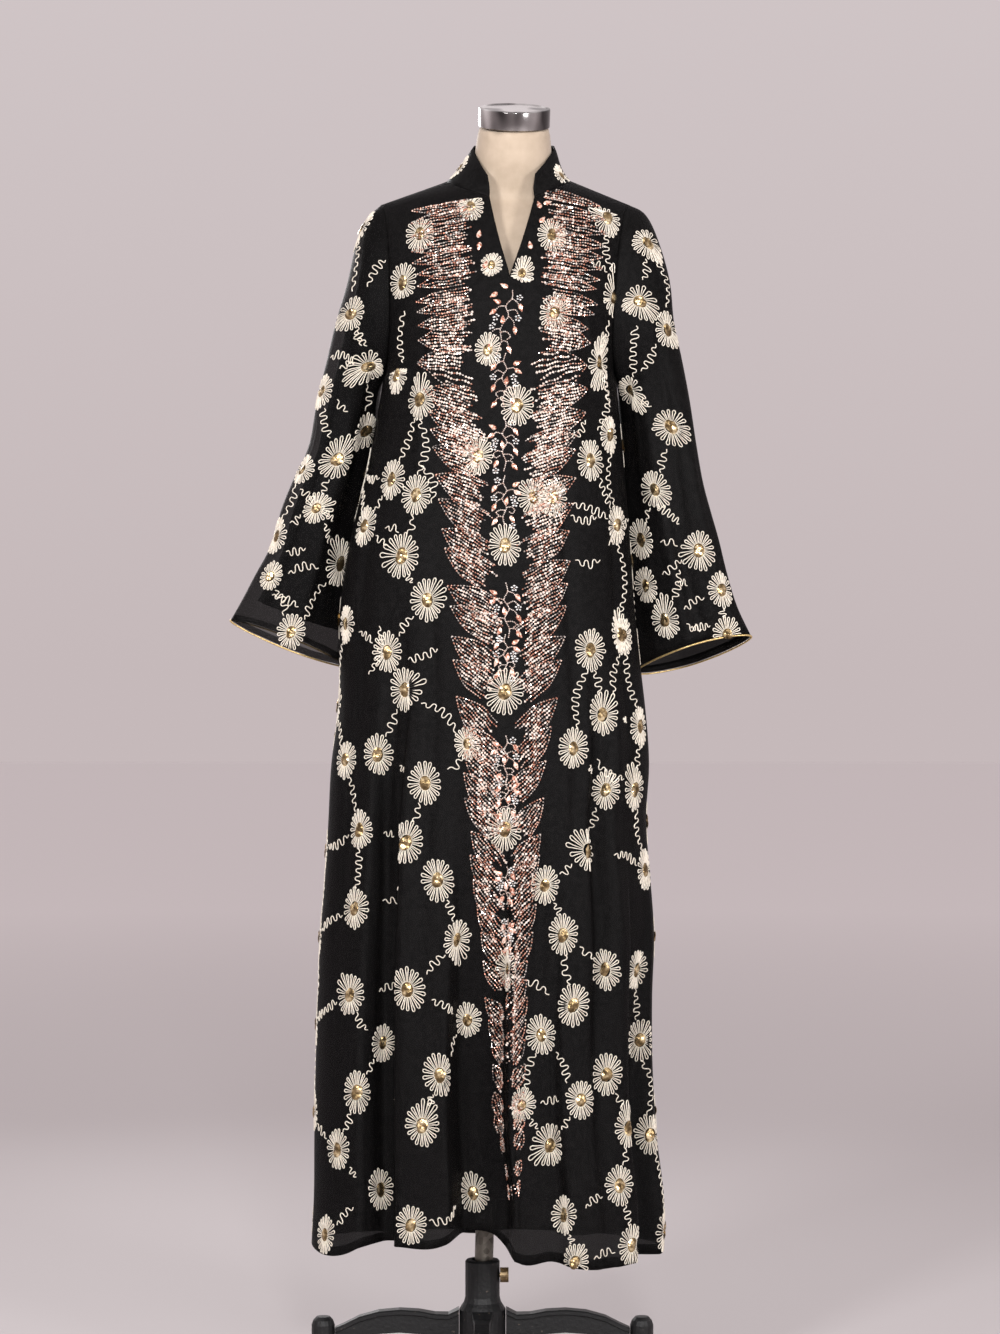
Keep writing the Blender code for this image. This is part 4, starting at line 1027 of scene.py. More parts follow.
def glint_crystal_bead():
    bead = Finish("glint_crystal_bead", roughness=0.12, metallic=0.2, coat_weight=0.8)
    # Near white: partly the crystals' own colour, partly painted glints
    bead.tint(bead.grain(260), (0.35, (0.86, 0.66, 0.56)), (0.6, (1.0, 0.91, 0.83)))
    return bead.material


def white_bead():
    bead = Finish("white_bead", roughness=0.2, metallic=0.1, coat_weight=0.5)
    bead.tint(bead.grain(400), (0.3, (0.70, 0.68, 0.66)), (0.7, (0.92, 0.91, 0.90)))
    return bead.material


def cream_jersey():
    cover = Finish("cream_jersey", roughness=0.7, sheen_weight=0.15)
    cover.tint(cover.grain(60, detail=3.0), (0.3, (0.42, 0.332, 0.245)), (0.7, (0.475, 0.378, 0.285)))
    cover.roughen(cover.grain(900, detail=1.0, stretch=(1, 1, 0.35)), strength=0.35, depth=0.0004)
    return cover.material


def chrome_painted_reflections():
    metal = Finish("chrome_painted_reflections", roughness=0.14, metallic=1.0)
    # Painted reflections: dark and bright streaks, stretched upright, painted into the chrome's colour
    metal.tint(metal.grain(16, detail=0.5, stretch=(2, 2, 0.2)), (0.40, (0.07, 0.065, 0.065)),
               (0.5, (0.38, 0.365, 0.36)), (0.60, (0.93, 0.92, 0.91)))
    metal.roughen(metal.grain(300), strength=0.05, depth=0.0002)
    return metal.material


def galvanised_tube():
    metal = Finish("galvanised_tube", roughness=0.42, metallic=0.9)
    metal.tint(metal.spangle(140), (0.2, (0.075, 0.068, 0.056)), (0.8, (0.19, 0.175, 0.15)))
    metal.tint(metal.grain(60, detail=3.0, stretch=(1, 1, 0.2)), (0.3, (0.34,)), (0.7, (0.55,)),
               socket="Roughness")
    return metal.material


def black_cast_iron():
    metal = Finish("black_cast_iron", roughness=0.5, specular_ior_level=0.3)
    metal.tint(metal.grain(170, detail=4.0), (0.30, (0.005, 0.005, 0.0053)),
               (0.68, (0.009, 0.009, 0.0095)), (0.73, (0.09, 0.07, 0.055)))
    metal.roughen(metal.grain(240, detail=4.0), strength=0.5, depth=0.0012)
    return metal.material


def antique_brass():
    metal = Finish("antique_brass", roughness=0.42, metallic=0.9)
    metal.tint(metal.grain(260, detail=3.0), (0.3, (0.16, 0.11, 0.06)), (0.7, (0.42, 0.31, 0.18)))
    metal.roughen(metal.grain(500), strength=0.4, depth=0.0004)
    return metal.material


def studio_floor_painted_shade():
    paint = Finish("studio_floor_painted_shade", roughness=0.85)
    # Painted shade: the floor is darker near the middle, where the softboxes light it most
    paint.tint(paint.distance_out(FLOOR_SIZE / 2),
               *((place, tuple(c * shade for c in FLOOR_COLOUR)) for place, shade in FLOOR_PAINTED_SHADE))
    return paint.material


# Meshes

def new_piece(name, points, faces, material, body="dressed_form", smooth=True):
    """A piece from an array of points and one of faces, all with the same number of corners."""
    points = np.ascontiguousarray(points, np.float32).reshape(-1, 3)
    faces = np.ascontiguousarray(faces, np.int32)
    mesh = bpy.data.meshes.new(name)
    mesh.vertices.add(len(points))
    mesh.vertices.foreach_set("co", points.ravel())
    mesh.loops.add(faces.size)
    mesh.loops.foreach_set("vertex_index", faces.ravel())
    mesh.polygons.add(len(faces))
    mesh.polygons.foreach_set("loop_start",
                              np.arange(0, faces.size, faces.shape[1], dtype=np.int32))
    mesh.update(calc_edges=True)
    mesh.validate()
    if smooth:
        mesh.shade_smooth()
    else:
        mesh.shade_flat()
    mesh.materials.append(material)
    piece = bpy.data.objects.new(name, mesh)
    bpy.context.scene.collection.objects.link(piece)
    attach(piece, body)
    return piece


def grid_faces(rows, columns, first=0):
    """Four cornered faces between the points of a grid whose first point has this number."""
    corner = np.arange(rows * columns).reshape(rows, columns) + first
    return np.stack([corner[:-1, :-1], corner[:-1, 1:], corner[1:, 1:], corner[1:, :-1]],
                    -1).reshape(-1, 4)


def joined_grids(grids):
    """All the grids' points and faces, and the number of each grid's first point."""
    points = np.concatenate([g.reshape(-1, 3) for g in grids])
    starts = np.cumsum([0] + [g.shape[0] * g.shape[1] for g in grids[:-1]])
    faces = np.concatenate([grid_faces(*g.shape[:2], s) for g, s in zip(grids, starts)])
    return points, faces, starts


def merged(points, faces):
    """Points and faces with equal points made one, and each old point's new number."""
    _, first, back = np.unique(np.round(points * 1e5).astype(np.int64), axis=0,
                               return_index=True, return_inverse=True)
    back = back.reshape(-1)
    faces = back[faces]
    whole = (faces != np.roll(faces, 1, axis=1)).all(1)
    return points[first], faces[whole], back


def face_sums(points, faces):
    """At each point, the sum of its faces' outward directions, weighted by their size."""
    across = np.cross(points[faces[:, 2]] - points[faces[:, 0]],
                      points[faces[:, 3]] - points[faces[:, 1]])
    total = np.zeros_like(points)
    for corner in range(4):
        np.add.at(total, faces[:, corner], across)
    return total


def cloth_shell(grids, thickness, inner_strips=()):
    """Points and faces of closed walls: each grid's rows climb anticlockwise seen from outside."""
    points, faces, _ = joined_grids(grids)
    points, faces, _ = merged(points, faces)
    normals = units(face_sums(points, faces))
    count = len(points)
    edges = np.concatenate([faces[:, [k, (k + 1) % 4]] for k in range(4)])
    codes, reverse = edges[:, 0] * count + edges[:, 1], edges[:, 1] * count + edges[:, 0]
    a, b = edges[~np.isin(codes, reverse)].T
    shell = np.concatenate([faces, faces[:, ::-1] + count,
                            np.stack([b, a, a + count, b + count], -1)])
    points = np.concatenate([points, points - normals * thickness])
    for strip in inner_strips:
        more, more_faces = cloth_shell([strip], thickness)
        shell = np.concatenate([shell, more_faces + len(points)])
        points = np.concatenate([points, more])
    return points, shell


def grid_area(grid):
    """Area of a grid, by the diagonals of its faces."""
    p, q = grid[1:, 1:] - grid[:-1, :-1], grid[1:, :-1] - grid[:-1, 1:]
    return float(np.linalg.norm(np.cross(p, q), axis=-1).sum() / 2)


def grid_size(grid):
    """Longest row and longest column of a grid."""
    along = np.linalg.norm(np.diff(grid, axis=1), axis=-1).sum(1).max()
    up = np.linalg.norm(np.diff(grid, axis=0), axis=-1).sum(0).max()
    return float(along), float(up)


def hang_cloth(name, node, grids, thickness, material, wide=1, strips=()):
    """Makes a cloth piece in place of its node. Its cut's width and length are worked out but not used:
    wide grids lie side by side.
    """
    points, faces = cloth_shell(grids, thickness, strips)
    piece = new_piece(name, points, faces, material)
    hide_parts(node)
    area = sum(grid_area(g) for g in (*grids, *strips))
    width = sum(grid_size(g)[0] for g in grids[:wide])
    length = max(grid_size(g)[1] for g in grids)
    width *= max(1.0, area / (width * length) * SHEET_MARGIN)
    return piece


# The georgette and its creases

def crease_push(creases, across, height):
    """Depth of the listed creases where a column's place and a height meet."""
    push = np.zeros(np.broadcast(across, height).shape)
    for top_at, top, low_at, low, width, depth in creases:
        down = (top - height) / (top - low)
        wander = CREASE_WANDER * width * np.sin(CREASE_WAVE * down + CREASE_WAVE_START * top_at)
        centre = top_at + (low_at - top_at) * down + wander
        fade = ease(down / CREASE_START) * ease((CREASE_END - down) / CREASE_FADE)
        side = (across - centre) / width
        push += depth * fade * np.exp(-side * side * np.where(side > 0, 1.0, CREASE_STEEP))
    return push


def outward(grid, wrap=False):
    """Outward directions of a grid; wrap says that its first and last columns are one."""
    if wrap:
        wide = np.concatenate([grid[:, -2:-1], grid, grid[:, 1:2]], 1)
        along = (wide[:, 2:] - wide[:, :-2]) / 2
    else:
        along = np.gradient(grid, axis=1)
    up = np.gradient(grid, axis=0)
    return units(np.cross(along, up))


def even_columns(start, end, count):
    """Ring angles from start to end, evenly spaced along the folded hem."""
    angles = np.linspace(start, end, HEM_SAMPLES)
    line = np.array([lower_point(a, HEM + HEM_SAMPLES_UP) for a in angles])
    steps = np.linalg.norm(np.diff(line, axis=0), axis=1) + COLUMN_EVENING
    length = np.concatenate([[0], np.cumsum(steps)])
    return np.interp(np.linspace(0, length[-1], count), length, angles)


def body_half(side, back):
    """One half of the front or the back, and the ring angles of its columns.

    Rows climb from the hem to the shoulder, and columns run anticlockwise seen from above.
    """
    if back:
        low, high = (3 * pi / 2, 2 * pi) if side == "right" else (pi, 3 * pi / 2)
    else:
        low, high = (pi / 2, pi) if side == "left" else (0, pi / 2)
    angles = even_columns(low, high, BACK_HALF_COLUMNS if back else FRONT_HALF_COLUMNS)[::-1]
    rows = [[lower_point(a, h) for a in angles] for h in np.linspace(HEM, UNDERARM, LOWER_ROWS)]
    rows += [[upper_point(side, back, a, s) for a in angles] for s in UPPER_STEPS[1:]]
    grid = np.array(rows)
    across = np.array([hem_x(a) for a in angles])
    off_seam = ease((HEM_HALF - np.abs(across - HEM_MIDDLE)) / SEAM_CALM)
    settle = ease((SHOULDER_CALM_FROM - ROW_SHARES) / SHOULDER_CALM_OVER)[:, None]
    push = crease_push(BACK_CREASES if back else FRONT_CREASES, across[None, :], grid[..., 2])
    return grid + outward(grid) * (push * off_seam[None, :] * settle)[..., None], angles


def body_surface(back):
    """Both halves of the front or the back, joined along the middle up to the V or the neck."""
    order = ("right", "left") if back else ("left", "right")
    (first, first_angles), (second, second_angles) = (body_half(side, back) for side in order)
    joined = ROW_SHARES <= (NECK_SHARE if back else V_SHARE) + 1e-9
    middle = (first[joined, -1] + second[joined, 0]) / 2
    first[joined, -1], second[joined, 0] = middle, middle
    return (first, second), (first_angles, second_angles)


def sleeve_surface(side):
    """A sleeve, with the stations of its rows and the angles of its columns.

    Rows climb from the cuff to the shoulder, and columns run once round from the side by the body.
    """
    turns = np.linspace(-pi, pi, SLEEVE_COLUMNS_AROUND)
    if side == "right":
        turns = turns[::-1]
    turns = turns % (2 * pi)
    stations = np.linspace(CUFF_STATION, 0, SLEEVE_ROWS)
    grid = np.array([[sleeve_point(side, a, s) for a in turns] for s in stations])
    grid[:, -1] = grid[:, 0]
    under = np.abs(turns - pi) <= UNDERARM_ANGLE
    grid[-1, under, 0] += UNDERARM_GAP * (-1 if side == "left" else 1)
    creases = [(radians(a), -s, radians(b), -t, width, depth)
               for a, s, b, t, width, depth in SLEEVE_CREASES[side]]
    push = crease_push(creases, turns[None, :], -stations[:, None])
    settle = ease(stations / SLEEVE_CALM_STATIONS)[:, None]
    grid = grid + outward(grid, wrap=True) * (push * settle)[..., None]
    return grid, stations, turns


def collar_surface():
    """The collar: rows climb from its seam, and columns run anticlockwise seen from above."""
    degrees = np.linspace(NECK_END, NECK_START, COLLAR_COLUMNS)
    return np.array([[collar_point(d, k / (COLLAR_GRID_ROWS - 1)) for d in degrees]
                     for k in range(COLLAR_GRID_ROWS)])


def shared_outward(grids):
    """Outward directions of grids that meet, equal where they share a point."""
    points, faces, starts = joined_grids(grids)
    points, faces, back = merged(points, faces)
    found = units(face_sums(points, faces))[back]
    return [found[s:s + g.shape[0] * g.shape[1]].reshape(g.shape) for g, s in zip(grids, starts)]


def body_lining_grids(fronts, front_angles, backs, back_angles):
    """The lining: a plain tube below, which nears the georgette from the waist up."""
    wholes = [*fronts, *backs]
    angles = [*front_angles, *back_angles]
    lowest, highest = BODY_LINING.place[0], BODY_LINING.place[-1]
    heights = np.linspace(lowest, LINING_MEETS, LINING_LOWER_ROWS)
    grids = []
    for whole, directions, turns in zip(wholes, shared_outward(wholes), angles):
        turns = turns[::2]
        rows = [[lining_ring_point(a, h) for a in turns] for h in heights]
        for row in range(LINING_FROM_ROW, len(whole), 2):
            places = whole[row, ::2]
            near = ease((places[:, 2] - LINING_MEETS) / LINING_NEARS_OVER)[:, None]
            room = [BODY_LINING.at("front" if a < pi else "back", z)
                    for a, z in zip(turns, places[:, 2])]
            tuck = np.maximum(np.array(room) * LINING_CLOSE, THIN_CLOTH + LINING_GAP)
            close = places - directions[row, ::2] * tuck[:, None]
            ring = np.array([lining_ring_point(a, min(z, highest))
                             for a, z in zip(turns, places[:, 2])])
            rows.append(list(ring * (1 - near) + close * near))
        grids.append(np.array(rows))
    return grids


def lining_ring_point(angle, height):
    """A point of the lining where it hangs free inside the georgette."""
    tucked = [BODY.at(n, height) + away * BODY_LINING.at(n, height)
              for n, away in (("left", 1), ("right", -1), ("front", -1), ("back", -1))]
    middle, half = (tucked[0] + tucked[1]) / 2, (tucked[1] - tucked[0]) / 2
    depth = tucked[2] if sin(angle) >= 0 else tucked[3]
    return np.array([middle + half * signed_power(cos(angle), 2 / RING_ROUNDNESS),
                     -depth * signed_power(sin(angle), 2 / RING_ROUNDNESS), height])


def sleeve_lining_grid(grid, stations, turns):
    """A sleeve's lining: inside its georgette, and well in from its outer edge."""
    keep = stations <= SLEEVE_LINING.place[-1] + 1e-9
    kept, turned = grid[keep][:, ::2], turns[::2]
    directions = outward(grid, wrap=True)[keep][:, ::2]
    faces = np.array([SLEEVE_LINING.at("faces", s) for s in stations[keep]])[:, None]
    outer = np.array([SLEEVE_LINING.at("outer", s) for s in stations[keep]])[:, None]
    tuck = faces + (outer - faces) * np.maximum(0, np.cos(turned))[None, :] ** LINING_EDGE_POWER
    return kept - directions * (tuck + THIN_CLOTH + LINING_GAP)[..., None]


def hem_strip(grid, directions):
    """The turned up hem: the first row's strip again, just inside the cloth."""
    return (grid - directions * (THIN_CLOTH + HEM_GAP))[:2]


def make_garment():
    """Every cloth piece; gives the surfaces that the sewn work lies on."""
    georgette, lining = black_georgette("black_georgette", GEORGETTE_COVER), black_lining()
    # The left sleeve catches the light: a copy of the georgette that covers less lets more of the pale
    # studio through, as painted light
    lit_sleeve_cloth = black_georgette("black_georgette_lit_sleeve", LIT_SLEEVE_COVER)
    fronts, front_angles = body_surface(False)
    backs, back_angles = body_surface(True)
    for name, halves in (("front", fronts), ("back", backs)):
        strips = [hem_strip(g, outward(g)) for g in halves]
        hang_cloth(f"georgette_{name}", f"{name}_panel", halves, THIN_CLOTH, georgette,
                   wide=2, strips=strips)
    surfaces = {"front": Cloth(*fronts), "back": Cloth(*backs)}
    for side in ("left", "right"):
        grid, stations, turns = sleeve_surface(side)
        hang_cloth(f"georgette_sleeve_{side}", f"sleeve_{side}", [grid], THIN_CLOTH,
                   lit_sleeve_cloth if side == "left" else georgette,
                   strips=[hem_strip(grid, outward(grid, wrap=True))])
        hang_cloth(f"black_sleeve_lining_{side}", f"lining_sleeve_{side}",
                   [sleeve_lining_grid(grid, stations, turns)], THIN_CLOTH, lining)
        surfaces[f"sleeve_{side}"] = Cloth(grid)
    collar = collar_surface()
    doubled = black_georgette("black_georgette_doubled", DOUBLED_COVER)
    hang_cloth("georgette_collar", "collar", [collar], COLLAR_CLOTH, doubled)
    surfaces["collar"] = Cloth(collar)
    grids = body_lining_grids(fronts, front_angles, backs, back_angles)
    hang_cloth("black_body_lining", "lining_body", grids, THIN_CLOTH, lining, wide=4)
    return surfaces


# The cloth as the ground of the sewn work

class Cloth:
    """The outer face of a cloth, for laying motifs on it in their own flat sizes.

    Two grids are a body panel's halves, with its neck opening between them.
    """

    def __init__(self, first, second=None):
        self.grid = first if second is None else np.concatenate([first, second], 1)
        steps = np.linalg.norm(np.diff(self.grid, axis=1), axis=-1)
        self.place = np.concatenate([np.zeros((len(steps), 1)), np.cumsum(steps, 1)], 1)
        if second is None:
            self.gap = None
            self.place -= self.place[:, -1:] / 2
            directions = outward(first, wrap=True)
        else:
            middle = first.shape[1] - 1
            self.place -= (self.place[:, middle:middle + 1] + self.place[:, middle + 1:middle + 2]) / 2
            self.gap = steps[:, middle] / 2
            directions = np.concatenate([outward(first), outward(second)], 1)
        self.low = self.place.min()
        spots = np.arange(self.low, self.place.max() + LATTICE_STEP, LATTICE_STEP)
        rows = []
        for i, (line, place, way) in enumerate(zip(self.grid, self.place, directions)):
            row = np.stack([np.interp(spots, place, v, left=np.nan, right=np.nan)
                            for v in (*line.T, *way.T)], -1)
            if self.gap is not None and self.gap[i] > NECK_OPENING_LEAST:
                row[np.abs(spots) < self.gap[i]] = np.nan
            rows.append(row)
        self.lattice = np.array(rows)
        self.directions = directions
        scale = (CAMERA[1] - self.grid[..., 1]) / CAMERA[1]
        self.seen = np.stack([(self.grid[..., 0] - CAMERA[0]) / scale + CAMERA[0],
                              (self.grid[..., 2] - CAMERA[2]) / scale + CAMERA[2]], -1)
        self.faces_camera = directions[..., 1] < FACING_LIMIT

    def find(self, x, z, reach=FIND_REACH):
        """Row, column and Y of the cloth that the camera sees at x, z of the plane y = 0."""
        off = self.seen - (x, z)
        far = np.where(self.faces_camera, np.hypot(off[..., 0], off[..., 1]), FAR_AWAY)
        near = far < reach
        if not near.any():
            return None
        depth = np.where(near, self.grid[..., 1], FAR_AWAY)
        front = near & (depth < depth.min() + FRONT_LAYER)
        row, column = np.unravel_index(np.argmin(np.where(front, far, FAR_AWAY)), far.shape)
        row, column = (min(max(k, 1), n - 2) for k, n in zip((row, column), far.shape))
        steps = np.stack([(self.seen[row + 1, column] - self.seen[row - 1, column]) / 2,
                          (self.seen[row, column + 1] - self.seen[row, column - 1]) / 2], 1)
        move = 0.0, 0.0
        if abs(np.linalg.det(steps)) > LEAST_SLANT:
            move = np.linalg.solve(steps, (x, z) - self.seen[row, column])
            move = np.clip(move, -FIND_MOVE, FIND_MOVE)
        return row + move[0], column + move[1], self.grid[row, column, 1]

    def frame(self, row, column):
        """Point, right hand, up and outward directions, and a row's step, at a row and column."""
        i, j, f, g = self.cell(row, column)
        corner = self.grid
        bottom = corner[i, j] * (1 - g) + corner[i, j + 1] * g
        top = corner[i + 1, j] * (1 - g) + corner[i + 1, j + 1] * g
        way = units(self.directions[i, j] * (1 - g) + self.directions[i, j + 1] * g)
        along = corner[i, min(j + 2, corner.shape[1] - 1)] - corner[i, max(j - 1, 0)]
        along = units(along - way * (along * way).sum())
        return bottom * (1 - f) + top * f, along, np.cross(way, along), way, top - bottom

    def cell(self, row, column):
        """The grid's face at a row and column, and the place in it."""
        i = min(max(int(np.floor(row)), 0), self.grid.shape[0] - 2)
        j = min(max(int(np.floor(column)), 0), self.grid.shape[1] - 2)
        return i, j, row - i, column - j

    def lay(self, row, column, flat, lift):
        """Points and outward directions of flat places round a row and column; nan off the cloth."""
        last_row, last_spot = self.grid.shape[0] - 1, self.lattice.shape[1] - 1.001
        _, along, upward, _, step = self.frame(row, column)
        shear, rise = (step * along).sum(), (step * upward).sum()
        climbed = flat[:, 1] / (rise if abs(rise) >= LEAST_RISE else LEAST_RISE)
        there = row + climbed
        off = (there < 0) | (there > last_row)
        there = np.clip(there, 0, last_row - 0.000001)
        i = np.floor(there).astype(int)
        f = (there - i)[:, None]
        _, j, _, g = self.cell(row, column)
        found = 0
        for rung, share in ((i, 1 - f), (i + 1, f)):
            base = self.place[rung, j] * (1 - g) + self.place[rung, j + 1] * g
            spot = (base + flat[:, 0] - climbed * shear - self.low) / LATTICE_STEP
            off |= (spot < 0) | (spot > last_spot)
            spot = np.clip(np.nan_to_num(spot, nan=-1.0), 0, last_spot)
            k = np.floor(spot).astype(int)
            h = (spot - k)[:, None]
            found = found + share * (self.lattice[rung, k] * (1 - h) + self.lattice[rung, k + 1] * h)
        way = units(found[:, 3:])
        points = found[:, :3] + way * lift
        points[off] = np.nan
        return points, way


# Cords, beads and sequins as arrays of points

def corded(points, ways, closed=False):
    """A three sided tube along a line of points, left open where a point is nan."""
    if closed:
        points, ways = np.concatenate([points, points[:1]]), np.concatenate([ways, ways[:1]])
    step = np.diff(points, axis=0)
    whole = np.isfinite(step).all(-1) & (np.linalg.norm(step, axis=-1) < CORD_LONGEST)
    step = units(np.where(whole[:, None], step, 0))
    ahead = np.zeros_like(points)
    ahead[1:] += step
    ahead[:-1] += step
    if closed:
        ahead[0] += ahead[-1]
        ahead[-1] = ahead[0]
    side = units(np.cross(ways, ahead)) * CORD_RADIUS
    top, low = ways * CORD_RADIUS * CORD_TOP, ways * CORD_RADIUS * CORD_FOOT
    rings = np.stack([points + top, points + side - low, points - side - low], 1)
    number = np.arange(len(points) * 3).reshape(-1, 3)
    at, to = number[:-1], number[1:]
    faces = []
    for k in range(3):
        n = (k + 1) % 3
        quad = np.stack([at[:, k], at[:, n], to[:, n], to[:, k]], -1)[whole]
        faces += [quad[:, [0, 1, 2]], quad[:, [0, 2, 3]]]
    first, last = whole.copy(), whole.copy()
    first[1:] &= ~whole[:-1]
    last[:-1] &= ~whole[1:]
    faces += [at[first][:, ::-1], to[last]]
    used, back = np.unique(np.concatenate(faces), return_inverse=True)
    return rings.reshape(-1, 3)[used], back.reshape(-1, 3)


def copies(shape, shape_faces, centres, right, up, out):
    """Points and faces of a shape, or of one shape for each centre, set on its own directions."""
    keep = np.isfinite(centres).all(-1)
    centres, right, up, out = (v[keep] for v in (centres, right, up, out))
    shape = np.asarray(shape)
    shape = shape[keep] if shape.ndim == 3 else shape[None]
    points = (centres[:, None] + shape[..., :1] * right[:, None] + shape[..., 1:2] * up[:, None]
              + shape[..., 2:] * out[:, None])
    count = points.shape[1]
    faces = np.asarray(shape_faces)[None] + (np.arange(len(points)) * count)[:, None, None]
    return points.reshape(-1, 3), faces.reshape(-1, np.shape(shape_faces)[1])


def joined(parts):
    """The points and faces of all parts as one."""
    points, faces, count = [], [], 0
    for more, more_faces in parts:
        points.append(more)
        faces.append(more_faces + count)
        count += len(more)
    return np.concatenate(points), np.concatenate(faces)


BEAD_FACES = ((0, 2, 4), (2, 1, 4), (1, 3, 4), (3, 0, 4), (2, 0, 5), (1, 2, 5), (3, 1, 5), (0, 3, 5))


def bead_shapes(count, length, width, draws):
    """Faceted beads, each turned a little about its thread and of its own length."""
    turn = draws.uniform(0, pi / 2, count)
    own = length * draws.uniform(*BEAD_LENGTHS, count)
    zero = np.zeros(count)
    c, s = np.cos(turn) * width, np.sin(turn) * width
    return np.stack([np.stack(p, -1) for p in (
        (own, zero, zero), (-own, zero, zero), (zero, c, s), (zero, -c, -s), (zero, -s, c),
        (zero, s, -c))], 1)


def sequin_shape(half_width, half_length, height, tilt):
    """A domed oval sequin."""
    points = [(0, 0, height)]
    for share, level in SEQUIN_RINGS:
        for k in range(SEQUIN_SIDES):
            a = 2 * pi * k / SEQUIN_SIDES
            points.append((half_width * share * cos(a), half_length * share * sin(a), height * level))
    points.append((0, 0, 0))
    outer, foot = 1 + SEQUIN_SIDES, 1 + 2 * SEQUIN_SIDES
    faces = []
    for k in range(SEQUIN_SIDES):
        n = (k + 1) % SEQUIN_SIDES
        faces += [(0, 1 + k, 1 + n), (1 + k, outer + k, outer + n), (1 + k, outer + n, 1 + n),
                  (outer + k, foot, outer + n)]
    points = np.array(points)
    points[:, 2] += points[:, 0] * tilt[0] + points[:, 1] * tilt[1]
    return points, faces


def daisy_line(half_width, half_height, fan, draws):
    """One daisy's cord in its own flat sizes: a closed line of narrow loops round an oval."""
    step = 2 * pi / DAISY_LOOPS
    line = []
    for k in range(DAISY_LOOPS):
        a = k * step + draws.uniform(-LOOP_TURN, LOOP_TURN)
        reach = 1 + draws.uniform(*LOOP_REACH)
        if fan is not None:
            off = (a - fan + pi) % (2 * pi) - pi
            reach *= 1 + DAISY_FAN * np.exp(-(off / DAISY_FAN_ANGLE) ** 2)
        for share, way in LOOP_LINE:
            b = a + way * step * (1 if share else LOOP_FOOT)
            far = DAISY_CORE + (reach - DAISY_CORE) * share
            line.append((half_width * far * cos(b), half_height * far * sin(b)))
    return np.array(line)


def squiggle_line(length, waves, height, draws):
    """A couched cord in rounded waves along a flat length."""
    t = np.linspace(0, 1, waves * SQUIGGLE_POINTS + 1)
    ends = np.minimum(1, np.minimum(t, 1 - t) * waves * SQUIGGLE_TAPER)
    uneven = SQUIGGLE_UNEVEN * np.sin(SQUIGGLE_UNEVEN_TURNS * t + draws.uniform(0, 6))
    size = height * ends * (1 + uneven)
    lean = SQUIGGLE_LEAN * np.sin(4 * pi * waves * t) / waves
    bow = length * draws.uniform(-SQUIGGLE_BOW, SQUIGGLE_BOW) * np.sin(pi * t)
    return np.stack([length * (t - 0.5 - lean * ends), size * np.sin(2 * pi * waves * t) + bow], -1)


def turned(flat, angle):
    """Flat places or directions turned anticlockwise."""
    c, s = cos(angle), sin(angle)
    return flat @ np.array([[c, s], [-s, c]])


